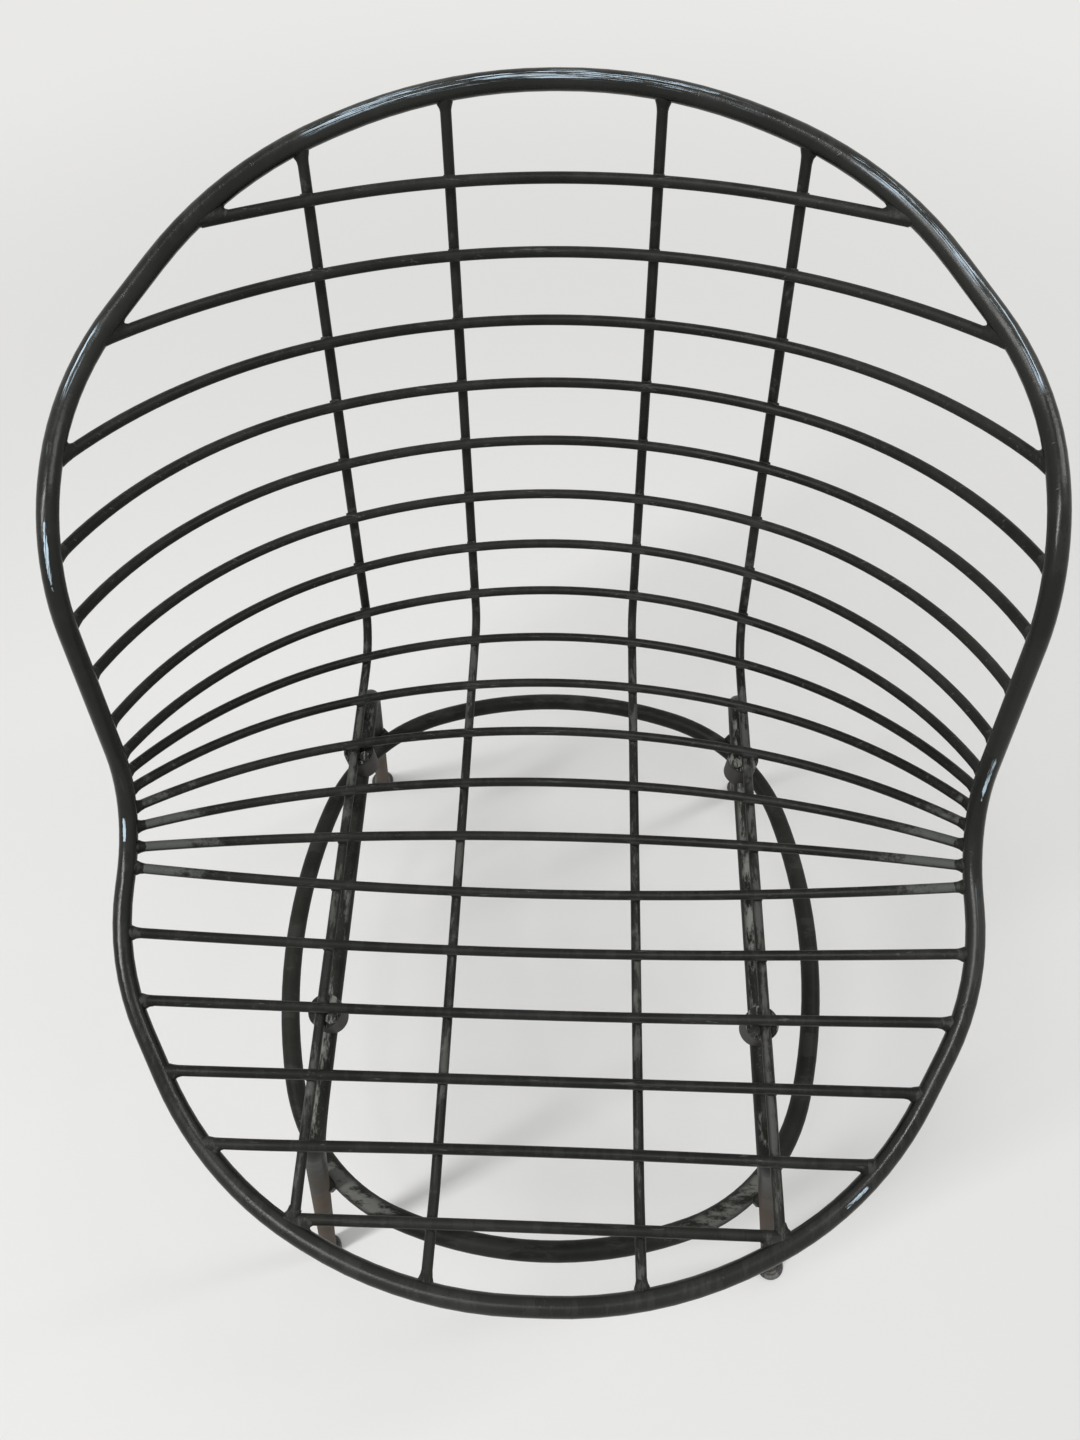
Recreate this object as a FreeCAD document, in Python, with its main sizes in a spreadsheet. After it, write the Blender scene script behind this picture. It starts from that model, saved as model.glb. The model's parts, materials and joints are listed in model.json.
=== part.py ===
# Wrought iron armchair: a bucket of bent round bars on a tube base.
# Frame: +X is the right side seen from the front, +Y points to the back, +Z is up.
# The origin is on the floor, under the middle of the chair. Lengths are in millimetres.
import FreeCAD
import Part
import Sketcher
import math
import os
from FreeCAD import Placement, Rotation, Vector

# Driving sizes, each with what it measures.
SIZES = (
    ("rod_diameter", 6.35, "round bar of the seat and back rods"),
    ("rim_diameter", 11.1, "round bar of the rim"),
    ("leg_diameter", 14.3, "tube of the leg frames"),
    ("ring_diameter", 14.3, "tube of the base ring"),
    ("weld_gap", 0.2, "clearance between curved faces that are welded"),
    ("crossing_gap", 0.3, "clearance of a cross rod over the inner long rods"),
    ("rim_width", 515.5, "across the two straight sides of the rim"),
    ("rim_bend_share", 0.48, "part of each run of the rim that its bends take up"),
    ("front_straight", 143.5, "width of the straight front of the rim"),
    ("front_reach", 299.25, "rim front, forward of the origin"),
    ("front_height", 432.5, "rim front above the floor"),
    ("knee_width", 383.5, "across the front corners of the rim"),
    ("knee_reach", 241.5, "front corners, forward of the origin"),
    ("knee_height", 434.0, "front corners above the floor"),
    ("side_reach", 126.5, "front of the straight sides, forward of the origin"),
    ("side_height", 473.0, "straight sides above the floor"),
    ("arm_reach", 33.5, "foot of the wings, forward of the origin"),
    ("arm_height", 492.5, "foot of the wings above the floor"),
    ("wing_setback", 37.0, "top of the wings, behind the origin"),
    ("wing_height", 657.5, "top of the wings above the floor"),
    ("rear_setback", 131.0, "rear corners of the rim, behind the origin"),
    ("rear_height", 684.5, "rear corners above the floor"),
    ("shoulder_width", 358.5, "across the shoulders of the back"),
    ("shoulder_setback", 245.0, "shoulders, behind the origin"),
    ("shoulder_height", 725.0, "shoulders above the floor"),
    ("crown_width", 124.5, "width of the straight top of the rim"),
    ("crown_setback", 299.25, "top of the rim, behind the origin"),
    ("crown_height", 742.0, "top of the rim above the floor"),
    ("inner_spread", 120.0, "between the two inner long rods"),
    ("inner_height", 421.0, "inner long rods above the floor"),
    ("inner_corner", 155.5, "where seat and back of the inner long rods would meet"),
    ("inner_bend", 20.0, "bend radius of the inner long rods"),
    ("outer_spread", 276.0, "between the two outer long rods"),
    ("outer_height", 434.5, "outer long rods above the floor"),
    ("outer_corner", 129.5, "where seat and back of the outer long rods would meet"),
    ("outer_bend", 45.0, "bend radius of the outer long rods"),
    ("rise_lead", 20.0, "from the second cross rod to where the long rods start to rise"),
    ("rise_bend", 50.0, "bend radius where the long rods start to rise"),
    ("cross_rods", 19.0, "number of cross rods"),
    ("fan_start", 5.0, "cross rods from the front up to where the fan starts"),
    ("fan_end", 11.0, "cross rods from the front up to where the fan ends"),
    ("fan_pitch", 11.7, "between the ends of the fanned cross rods, along the rim"),
    ("rod_pitch", 39.4, "between cross rods, along the seat and up the back"),
    ("front_rod_reach", 260.5, "front cross rod, forward of the origin"),
    ("seat_tilt", 97.0, "plane of the seat rods, from the horizontal"),
    ("back_tilt", 160.5, "plane of the lowest back rod"),
    ("top_tilt", 167.5, "plane of the top rod"),
    ("runner_height", 405.0, "runners of the leg frames above the floor"),
    ("runner_spread", 280.0, "between the two runners"),
    ("foot_spread", 419.0, "between the left and right feet"),
    ("front_foot_reach", 288.0, "front feet, forward of the origin"),
    ("rear_foot_setback", 200.0, "rear feet, behind the origin"),
    ("front_leg_lean", 9.8, "front legs from the upright, in the plane of the leg frame"),
    ("rear_leg_lean", 13.7, "rear legs from the upright, in the plane of the leg frame"),
    ("leg_bend", 34.0, "bend radius between runner and leg"),
    ("ring_height", 262.0, "base ring above the floor"),
    ("ring_width", 421.0, "base ring, left to right, on the tube's centre line"),
    ("ring_length", 447.0, "base ring, front to back, on the tube's centre line"),
    ("ring_flat", 75.0, "corner centres of the ring, from its middle, front to back"),
    ("ring_flat_across", 62.0, "corner centres of the ring, from its middle, left to right"),
    ("plate_inward", 1.5, "plates and spacers, inward of the outer long rods"),
    ("plate_diameter", 21.0, "round plates under the outer long rods"),
    ("plate_thickness", 2.5, "round plates"),
    ("spacer_diameter", 21.0, "spacers between plates and runners"),
    ("saddle_depth", 4.0, "how far a spacer reaches down beside its runner"),
    ("front_mount_rod", 3.0, "cross rods between the front rod and the front plates"),
    ("rear_mount_rod", 8.0, "cross rods between the front rod and the rear plates"),
    ("bolt_diameter", 4.0, "shank of the plate bolts"),
    ("bolt_length", 14.0, "shank of the plate bolts, under the head"),
    ("bolt_head_width", 6.35, "hexagon head, across its flats"),
    ("bolt_head_height", 2.8, "hexagon head"),
    ("bolt_forward", 5.0, "bolts, forward of the middle of the plate"),
    ("glide_diameter", 25.0, "foot disc of the glides"),
    ("glide_floor", 3.0, "thickness of the foot disc"),
    ("glide_bevel", 1.4, "bevel round the foot disc"),
    ("cup_wall", 1.7, "wall of the glide's cup round the leg"),
    ("cup_height", 8.0, "height of the cup above the foot disc"),
)

doc = FreeCAD.newDocument("chair")
sheet = doc.addObject("Spreadsheet::Sheet", "sizes")
for row, (alias, value, note) in enumerate(SIZES, 1):
    sheet.set("A%d" % row, alias)
    sheet.set("B%d" % row, str(value))
    sheet.set("C%d" % row, note)
    sheet.setAlias("B%d" % row, alias)
doc.recompute()


def size(alias):
    return float(sheet.get(alias))


# Closeness that counts as on a curve, rounds that settle a cross rod's lift over a long rod,
# steps in which a mitre may back off the rim, and the angle from a hexagon's corner to the
# middle of its side.
ON_CURVE = 0.01
LIFT_ROUNDS = 3
MITRE_STEPS = 12
HEXAGON_HALF_TURN = 30


# Helpers for bent bars.
def fillet_corner(before, corner, after, radius):
    """Tangent points and middle point of an arc that rounds a corner of a path."""
    back = (before - corner).normalize()
    ahead = (after - corner).normalize()
    half_turn = (math.pi - back.getAngle(ahead)) / 2
    reach = radius * math.tan(half_turn)
    bisector = (back + ahead).normalize()
    depth = radius / math.cos(half_turn) - radius
    return corner + back * reach, corner + bisector * depth, corner + ahead * reach


def bent_path(points, radii):
    """Straight runs through the points, joined by tangent arcs of the given radii."""
    edges = []
    start = points[0]
    for i in range(1, len(points) - 1):
        first, middle, last = fillet_corner(points[i - 1], points[i], points[i + 1], radii[i - 1])
        edges.append(Part.LineSegment(start, first).toShape())
        edges.append(Part.Arc(first, middle, last).toShape())
        start = last
    edges.append(Part.LineSegment(start, points[-1]).toShape())
    return Part.Wire(edges)


def bar_along(path, diameter):
    """Round bar with its axis on the path."""
    first = path.Edges[0]
    start = first.valueAt(first.FirstParameter)
    heading = first.tangentAt(first.FirstParameter)
    section = Part.Wire(Part.makeCircle(diameter / 2, start, heading))
    return path.makePipeShell([section], True, False)


def mirror_x(shape):
    return shape.mirror(Vector(0, 0, 0), Vector(1, 0, 0))


def shape_node(label, shape):
    node = doc.addObject("Part::Feature", label)
    node.Label = label
    node.Shape = shape
    node.Placement = Placement()
    return node


# The rim: one bar bent in space, the same on both sides.
def rim_corners():
    side = size("rim_width") / 2
    return [
        Vector(size("front_straight") / 2, -size("front_reach"), size("front_height")),
        Vector(size("knee_width") / 2, -size("knee_reach"), size("knee_height")),
        Vector(side, -size("side_reach"), size("side_height")),
        Vector(side, -size("arm_reach"), size("arm_height")),
        Vector(side, size("wing_setback"), size("wing_height")),
        Vector(side, size("rear_setback"), size("rear_height")),
        Vector(size("shoulder_width") / 2, size("shoulder_setback"), size("shoulder_height")),
        Vector(size("crown_width") / 2, size("crown_setback"), size("crown_height")),
    ]


def widest_radius(before, corner, after):
    """Largest bend whose tangents take the given share of the shorter run beside it."""
    share = size("rim_bend_share") * min(corner.distanceToPoint(before), corner.distanceToPoint(after))
    half_turn = (math.pi - (before - corner).getAngle(after - corner)) / 2
    return share / math.tan(half_turn)


def right_rim_path():
    corners = rim_corners()
    mirrored_front = Vector(-corners[0].x, corners[0].y, corners[0].z)
    mirrored_crown = Vector(-corners[-1].x, corners[-1].y, corners[-1].z)
    around = [mirrored_front] + corners + [mirrored_crown]
    radii = [widest_radius(*around[i - 1:i + 2]) for i in range(1, len(around) - 1)]
    front_middle = Vector(0, corners[0].y, corners[0].z)
    crown_middle = Vector(0, corners[-1].y, corners[-1].z)
    return bent_path([front_middle] + corners + [crown_middle], radii)


rim_path = right_rim_path()


half_rim = bar_along(rim_path, size("rim_diameter"))
rim = half_rim.fuse(mirror_x(half_rim)).removeSplitter()
shape_node("rim", rim)


def upright_wall(x):
    """Large upright face at a distance from the middle plane."""
    reach = 2 * size("crown_height")
    return Part.makePlane(reach, reach, Vector(x, -reach / 2, 0), Vector(1, 0, 0), Vector(0, 1, 0))


def rim_points_at(x):
    """Points of the rim's centre line at a distance from the middle plane: front, then top."""
    hits = [pair[0] for pair in rim_path.distToShape(upright_wall(x))[1]]
    hits.sort(key=lambda point: point.y)
    return hits[0], hits[-1]


# Long rods: each lies in an upright plane, flat under the seat, then bent up behind the back.
class LongRod:
    """Axis of a long rod in its plane, and the line on which the cross rods lie over it."""

    def __init__(self, x, corner_y, height, radius):
        self.x = x
        self.height = height
        self.radius = radius
        self.corner = Vector(x, corner_y, height)
        self.front, self.crown = rim_points_at(x)
        self.lean = math.atan2(self.crown.z - height, self.crown.y - corner_y)
        self.bend_start = corner_y - radius * math.tan(self.lean / 2)

    def over(self, station, lift):
        """Point at a lift over the axis, a distance along from where the bend starts."""
        radius = self.radius - lift
        length = radius * self.lean
        turn = min(max(station / radius, 0), self.lean)
        centre = Vector(self.x, self.bend_start, self.height + self.radius)
        point = centre + Vector(0, radius * math.sin(turn), -radius * math.cos(turn))
        beyond = min(station, 0) + max(station - length, 0)
        return point + Vector(0, math.cos(turn), math.sin(turn)) * beyond

    def line_over(self, lift):
        """The whole line at a lift over the axis, as a wire."""
        length = (self.radius - lift) * self.lean
        far = size("crown_height")
        stations = (-far, 0, length / 2, length, far)
        points = [self.over(station, lift) for station in stations]
        return Part.Wire([
            Part.LineSegment(points[0], points[1]).toShape(),
            Part.Arc(points[1], points[2], points[3]).toShape(),
            Part.LineSegment(points[3], points[4]).toShape(),
        ])


inner = LongRod(size("inner_spread") / 2, size("inner_corner"), size("inner_height"), size("inner_bend"))
outer = LongRod(size("outer_spread") / 2, size("outer_corner"), size("outer_height"), size("outer_bend"))
rod_count = int(size("cross_rods"))
front_station = -size("front_rod_reach") - inner.bend_start
rise_start = -size("front_rod_reach") + size("rod_pitch") - size("rise_lead")
inner_rise = (inner.front.z - inner.height) / (rise_start - inner.front.y)
front_rise = inner_rise * (rise_start + size("front_rod_reach"))


# Cross rods: each lies in a plane of its own, over the long rods, with both ends on the rim.
fan_start = int(size("fan_start"))
fan_end = int(size("fan_end"))
lift_inner = size("rod_diameter") + size("crossing_gap")


def seat_point(index):
    """Where a cross rod passes over the right inner long rod."""
    point = inner.over(front_station + index * size("rod_pitch"), lift_inner)
    if index == 0:
        point.z += front_rise
    return point


def tilt_heading(index):
    """Direction of a cross rod's plane on the seat, or up the back, where it grows flatter."""
    share = max(index - fan_end - 1, 0) / (rod_count - fan_end - 2)
    back_tilt = size("back_tilt") + share * (size("top_tilt") - size("back_tilt"))
    tilt = math.radians(size("seat_tilt") if index <= fan_start else back_tilt)
    return Vector(0, math.cos(tilt), math.sin(tilt))


def rod_face(start, heading):
    """Face from the middle plane outwards, in the plane of a cross rod."""
    far = heading * size("crown_height")
    across = Vector(size("rim_width"), 0, 0)
    foot = Vector(0, start.y, start.z)
    corners = [foot, foot + far, foot + far + across, foot + across, foot]
    return Part.Face(Part.makePolygon(corners))


def nearest_hit(wire, face, start):
    hits = [pair[0] for pair in wire.distToShape(face)[1]]
    return min(hits, key=lambda point: abs(point.y - start.y) + abs(point.z - start.z))


def circle_over(near, far, heading):
    """Centre of the arc through two points of a cross rod and their mirror images."""
    climb = (far - near).dot(heading)
    rise = (far.x ** 2 - near.x ** 2 + climb ** 2) / (2 * climb)
    return Vector(0, near.y, near.z) + heading * rise


def tangent_arc(start, heading, end):
    """Arc that leaves the start along the heading and reaches the end."""
    chord = end - start
    side = chord - heading * chord.dot(heading)
    radius = chord.Length ** 2 / (2 * side.Length)
    centre = start + side.normalize() * radius
    middle = centre + ((start - centre) + (end - centre)).normalize() * radius
    return Part.Arc(start, middle, end).toShape()


def mirror_point(point):
    return Vector(-point.x, point.y, point.z)


def rim_spot(point):
    """Edge of the rim's centre line under a point, its parameter there, and the length before it."""
    travelled = 0
    for edge in rim_path.Edges:
        if edge.distToShape(Part.Vertex(point))[0] < ON_CURVE:
            return edge, edge.Curve.parameter(point), travelled
        travelled += edge.Length
    raise ValueError("a rod misses the rim")


def rim_distance(point):
    """Length of the rim from its front middle to a point on it."""
    edge, parameter, travelled = rim_spot(point)
    return travelled + edge.Curve.length(edge.FirstParameter, parameter)


def rim_point(distance):
    """Point on the rim at a length from its front middle."""
    for edge in rim_path.Edges:
        if distance <= edge.Length:
            return edge.valueAt(edge.getParameterByLength(distance))
        distance -= edge.Length
    raise ValueError("a rod ends beyond the rim")


def tilted_end(index):
    near = seat_point(index)
    return nearest_hit(rim_path, rod_face(near, tilt_heading(index)), near)


def rod_end(index):
    """Right end of a cross rod's axis, on the rim's centre line. The fan's ends are evenly spaced."""
    if index <= fan_start or index > fan_end:
        return tilted_end(index)
    return rim_point(rim_distance(tilted_end(fan_start)) + (index - fan_start) * size("fan_pitch"))


def cross_rod_path(index):
    """Axis of a cross rod, from the left side of the rim to the right side."""
    near = seat_point(index)
    end = rod_end(index)
    heading = Vector(0, end.y - near.y, end.z - near.z).normalize()
    if index == 0:
        centre = circle_over(near, end, heading)
        lowest = centre - heading * centre.distanceToPoint(near)
        return Part.Wire([Part.Arc(mirror_point(end), lowest, end).toShape()])
    face = rod_face(near, heading)
    lift = lift_inner
    for _ in range(LIFT_ROUNDS):
        far = nearest_hit(outer.line_over(lift), face, near)
        centre = circle_over(near, far, heading)
        radius = centre.distanceToPoint(near)
        lift = lift_inner / math.cos(math.asin(outer.x / radius))
    lowest = centre - heading * radius
    spoke = (far - centre).normalize()
    leaving = (Vector(1, 0, 0) - spoke * spoke.x).normalize()
    right_end = tangent_arc(far, leaving, end)
    middle = Part.Arc(mirror_point(far), lowest, far).toShape()
    return Part.Wire(Part.__sortEdges__([mirror_x(right_end), middle, right_end]))


def end_trim(path, end, clearance):
    """Block beyond the plane in which a rod is mitred, a clearance off the rim's side."""
    last = min(path.Edges, key=lambda edge: edge.distToShape(Part.Vertex(end))[0])
    heading = last.tangentAt(last.Curve.parameter(end))
    edge, parameter, _ = rim_spot(end)
    along_rim = edge.tangentAt(parameter)
    outward = (heading - along_rim * heading.dot(along_rim)).normalize()
    if outward.dot(end - path.CenterOfMass) < 0:
        outward = outward * -1
    mitre = end - outward * (size("rim_diameter") / 2 + clearance)
    return Part.makeCylinder(2 * size("rim_diameter"), 2 * size("rim_diameter"), mitre, outward)


def mitred(bar, path, ends, clearance):
    """Bar cut at its right ends and, where it reaches as far, at their mirror images."""
    trims = [end_trim(path, end, clearance) for end in ends]
    return bar.cut(trims + [mirror_x(trim) for trim in trims])


def mitred_rod(path, ends):
    """Rod along a path, mitred at its ends and shortened there until the curved rim clears it."""
    bar = bar_along(path, size("rod_diameter"))
    for step in range(1, MITRE_STEPS + 1):
        rod = mitred(bar, path, ends, step * size("weld_gap"))
        if rod.distToShape(rim)[0] > size("weld_gap") / 2:
            break
    return rod


rod_paths = [cross_rod_path(index) for index in range(rod_count)]
for index, path in enumerate(rod_paths):
    shape_node("cross_rod_%02d" % (index + 1), mitred_rod(path, [rod_end(index)]))


# The long rods end on the rim. The outer ones also stay clear of the ends of the front cross rod.
def long_rod(line):
    rise_point = Vector(line.x, rise_start, line.height)
    path = bent_path([line.front, rise_point, line.corner, line.crown], [size("rise_bend"), line.radius])
    return mitred_rod(path, [line.front, line.crown])


front_rod_cutter = bar_along(rod_paths[0], size("rod_diameter") + 2 * size("weld_gap"))
inner_rod = long_rod(inner)
outer_rod = long_rod(outer).cut(front_rod_cutter)
shape_node("inner_rod_right", inner_rod)
shape_node("inner_rod_left", mirror_x(inner_rod))
shape_node("outer_rod_right", outer_rod)
shape_node("outer_rod_left", mirror_x(outer_rod))


# Helpers for sketched pieces.
def new_body(label):
    body = doc.addObject("PartDesign::Body", label)
    body.Label = label
    return body


def origin_plane(body, role):
    return [feature for feature in body.Origin.OriginFeatures if feature.Role == role][0]


def new_sketch(body, name, role):
    sketch = body.newObject("Sketcher::SketchObject", name)
    sketch.AttachmentSupport = (origin_plane(body, role), [""])
    sketch.MapMode = "FlatFace"
    return sketch


def bind(sketch, expression, *constraint):
    """Adds a constraint and ties its value to the sheet."""
    index = sketch.addConstraint(Sketcher.Constraint(*constraint))
    sketch.setExpression("Constraints[%d]" % index, expression)


def sketch_circle(sketch, diameter, height):
    """Circle on the sketch's upright axis, at a height."""
    outline = Part.Circle(Vector(0, size(height), 0), Vector(0, 0, 1), size(diameter) / 2)
    circle = sketch.addGeometry(outline, False)
    bind(sketch, "sizes.%s" % diameter, "Diameter", circle, size(diameter))
    sketch.addConstraint(Sketcher.Constraint("PointOnObject", circle, 3, -2))
    bind(sketch, "sizes.%s" % height, "DistanceY", -1, 1, circle, 3, size(height))


def pipe(body, name, section, path):
    feature = body.newObject("PartDesign::AdditivePipe", name)
    feature.Profile = section
    feature.Spine = (path, [])
    feature.Transition = "Transformed"
    return feature


# Leg frames: a runner with a leg bent down at each end, all in one plane that splays outwards.
SPLAY = "atan((sizes.foot_spread - sizes.runner_spread) / 2 / sizes.runner_height)"
splay = math.atan((size("foot_spread") - size("runner_spread")) / 2 / size("runner_height"))


def leg_path(body, name, side, foot, lean, way):
    """Half of a leg frame: runner, bend and leg. Way is -1 to the front and 1 to the back."""
    sketch = new_sketch(body, name, "YZ_Plane")
    drop = size("runner_height") / math.cos(splay)
    radius = size("leg_bend")
    lean_angle = math.radians(size(lean))
    turn = math.pi / 2 - lean_angle
    reach = size(foot) - drop * math.tan(lean_angle)
    centre_reach = reach - radius * math.tan(turn / 2)
    bend_end_reach = centre_reach + radius * math.sin(turn)
    bend_end_drop = radius - radius * math.cos(turn)
    runner_end = Vector(way * centre_reach, 0, 0)
    bend_end = Vector(way * bend_end_reach, -bend_end_drop, 0)
    foot_point = Vector(way * size(foot), -drop, 0)
    circle = Part.Circle(Vector(way * centre_reach, -radius, 0), Vector(0, 0, 1), radius)
    angles = (math.pi / 2, math.pi / 2 + turn) if way < 0 else (math.pi / 2 - turn, math.pi / 2)
    at_runner, at_leg = (1, 2) if way < 0 else (2, 1)
    runner = sketch.addGeometry(Part.LineSegment(Vector(0, 0, 0), runner_end), False)
    bend = sketch.addGeometry(Part.ArcOfCircle(circle, *angles), False)
    leg = sketch.addGeometry(Part.LineSegment(foot_point, bend_end), False)
    sketch.addConstraint(Sketcher.Constraint("Coincident", runner, 1, -1, 1))
    sketch.addConstraint(Sketcher.Constraint("Horizontal", runner))
    sketch.addConstraint(Sketcher.Constraint("Tangent", runner, 2, bend, at_runner))
    sketch.addConstraint(Sketcher.Constraint("Tangent", leg, 2, bend, at_leg))
    bind(sketch, "sizes.leg_bend", "Radius", bend, radius)
    bind(sketch, "sizes.runner_height / cos(%s)" % SPLAY, "DistanceY", leg, 1, -1, 1, drop)
    if way < 0:
        bind(sketch, "sizes.%s" % foot, "DistanceX", leg, 1, -1, 1, size(foot))
        bind(sketch, "(90 - sizes.%s) * 1 deg" % lean, "Angle", leg, math.pi / 2 - lean_angle)
    else:
        bind(sketch, "sizes.%s" % foot, "DistanceX", -1, 1, leg, 1, size(foot))
        bind(sketch, "(90 + sizes.%s) * 1 deg" % lean, "Angle", leg, math.pi / 2 + lean_angle)
    tilted = Rotation(Vector(1, 0, 0), -side * math.degrees(splay))
    sketch.AttachmentOffset = Placement(Vector(0, size("runner_height"), 0), tilted)
    sketch.setExpression("AttachmentOffset.Base.y", "sizes.runner_height")
    sketch.setExpression("AttachmentOffset.Rotation.Angle", "%d * %s" % (-side, SPLAY))
    return sketch


def leg_frame(label, side):
    """Leg frame on one side: side is -1 on the left and 1 on the right."""
    body = new_body(label)
    section = new_sketch(body, label + "_section", "XZ_Plane")
    sketch_circle(section, "leg_diameter", "runner_height")
    front = leg_path(body, label + "_front", side, "front_foot_reach", "front_leg_lean", -1)
    rear = leg_path(body, label + "_rear", side, "rear_foot_setback", "rear_leg_lean", 1)
    doc.recompute()
    pipe(body, label + "_front_bar", section, front)
    pipe(body, label + "_rear_bar", section, rear)
    doc.recompute()
    trim = new_sketch(body, label + "_trim", "XY_Plane")
    trim.AttachmentOffset = Placement(Vector(0, 0, size("glide_floor")), Rotation())
    trim.setExpression("AttachmentOffset.Base.z", "sizes.glide_floor")
    area = trim.addGeometry(Part.Circle(Vector(0, 0, 0), Vector(0, 0, 1), size("foot_spread")), False)
    trim.addConstraint(Sketcher.Constraint("Coincident", area, 3, -1, 1))
    bind(trim, "sizes.foot_spread", "Radius", area, size("foot_spread"))
    cut = body.newObject("PartDesign::Pocket", label + "_foot_cut")
    cut.Profile = trim
    cut.Length = size("leg_diameter")
    cut.setExpression("Length", "sizes.leg_diameter")
    body.setExpression("Placement.Base.x", "%d * sizes.runner_spread / 2" % side)
    return body


# Base ring: a rounded square of arcs, whose corners lean against the insides of the four legs.
LEG_ACROSS = "(sizes.foot_spread / 2 - sizes.ring_height * tan(%s))" % SPLAY
FRONT_LEG_AT_RING = ("(sizes.ring_height / cos(%s) * tan(sizes.front_leg_lean * 1 deg)"
                     " - sizes.front_foot_reach)" % SPLAY)
REAR_LEG_AT_RING = ("(sizes.rear_foot_setback"
                    " - sizes.ring_height / cos(%s) * tan(sizes.rear_leg_lean * 1 deg))" % SPLAY)
RING_MIDDLE = "((%s + %s) / 2)" % (FRONT_LEG_AT_RING, REAR_LEG_AT_RING)


def leg_axis_at(height, foot, lean, way):
    """Point of a right leg's axis at a height."""
    y = way * (size(foot) - height / math.cos(splay) * math.tan(math.radians(size(lean))))
    return Vector(size("foot_spread") / 2 - height * math.tan(splay), y, height)


front_leg_at_ring = leg_axis_at(size("ring_height"), "front_foot_reach", "front_leg_lean", -1)
rear_leg_at_ring = leg_axis_at(size("ring_height"), "rear_foot_setback", "rear_leg_lean", 1)
ring_middle = (front_leg_at_ring.y + rear_leg_at_ring.y) / 2
rear_slope = math.tan(math.radians(size("rear_leg_lean"))) / math.cos(splay)
rear_lean = math.atan(math.hypot(math.tan(splay), rear_slope))
leg_contact = (size("ring_diameter") + size("leg_diameter")) / 2 / math.cos(rear_lean) + size("weld_gap")
corner_radius = math.hypot(rear_leg_at_ring.x - size("ring_flat_across"),
                           rear_leg_at_ring.y - ring_middle - size("ring_flat")) - leg_contact


def ring_quarter(body, name, way):
    """Right front or rear quarter of the ring: half an end arc, the corner and half a side arc."""
    sketch = new_sketch(body, name, "XY_Plane")
    half_length = size("ring_length") / 2
    half_width = size("ring_width") / 2
    corner = Vector(size("ring_flat_across"), way * size("ring_flat"), 0)
    beyond = half_length - size("ring_flat")
    outside = half_width - size("ring_flat_across")
    end_radius = (corner.x ** 2 + beyond ** 2 - corner_radius ** 2) / (2 * (beyond - corner_radius))
    side_radius = (corner.y ** 2 + outside ** 2 - corner_radius ** 2) / (2 * (outside - corner_radius))
    end_centre = Vector(0, way * (half_length - end_radius), 0)
    side_centre = Vector(half_width - side_radius, 0, 0)
    end_angle = math.atan2(corner.y - end_centre.y, corner.x)
    side_angle = math.atan2(corner.y, corner.x - side_centre.x)
    arcs = []
    for centre, radius, first, last in (
            (end_centre, end_radius, way * math.pi / 2, end_angle),
            (corner, corner_radius, end_angle, side_angle),
            (side_centre, side_radius, side_angle, 0)):
        circle = Part.Circle(centre, Vector(0, 0, 1), radius)
        arc = Part.ArcOfCircle(circle, min(first, last), max(first, last))
        arcs.append(sketch.addGeometry(arc, False))
    end_arc, corner_arc, side_arc = arcs
    outer_end, inner_end = (1, 2) if way < 0 else (2, 1)
    sketch.addConstraint(Sketcher.Constraint("Tangent", end_arc, inner_end, corner_arc, outer_end))
    sketch.addConstraint(Sketcher.Constraint("Tangent", corner_arc, inner_end, side_arc, outer_end))
    sketch.addConstraint(Sketcher.Constraint("PointOnObject", end_arc, 3, -2))
    sketch.addConstraint(Sketcher.Constraint("PointOnObject", side_arc, 3, -1))
    sketch.addConstraint(Sketcher.Constraint("PointOnObject", end_arc, outer_end, -2))
    sketch.addConstraint(Sketcher.Constraint("PointOnObject", side_arc, inner_end, -1))
    bind(sketch, "sizes.ring_width / 2", "DistanceX", -1, 1, side_arc, inner_end, half_width)
    bind(sketch, "sizes.ring_flat_across", "DistanceX", -1, 1, corner_arc, 3, corner.x)
    if way < 0:
        bind(sketch, "sizes.ring_length / 2", "DistanceY", end_arc, outer_end, -1, 1, half_length)
        bind(sketch, "sizes.ring_flat", "DistanceY", corner_arc, 3, -1, 1, size("ring_flat"))
    else:
        bind(sketch, "sizes.ring_length / 2", "DistanceY", -1, 1, end_arc, outer_end, half_length)
        bind(sketch, "sizes.ring_flat", "DistanceY", -1, 1, corner_arc, 3, size("ring_flat"))
    sketch.addConstraint(Sketcher.Constraint("Radius", corner_arc, corner_radius))
    return sketch


def ring_section(body, name, way):
    sketch = new_sketch(body, name, "YZ_Plane")
    reach = size("ring_length") / 2
    centre = Vector(way * reach, 0, 0)
    circle = sketch.addGeometry(Part.Circle(centre, Vector(0, 0, 1), size("ring_diameter") / 2), False)
    sketch.addConstraint(Sketcher.Constraint("PointOnObject", circle, 3, -1))
    bind(sketch, "sizes.ring_diameter", "Diameter", circle, size("ring_diameter"))
    if way < 0:
        bind(sketch, "sizes.ring_length / 2", "DistanceX", circle, 3, -1, 1, reach)
    else:
        bind(sketch, "sizes.ring_length / 2", "DistanceX", -1, 1, circle, 3, reach)
    return sketch


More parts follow.
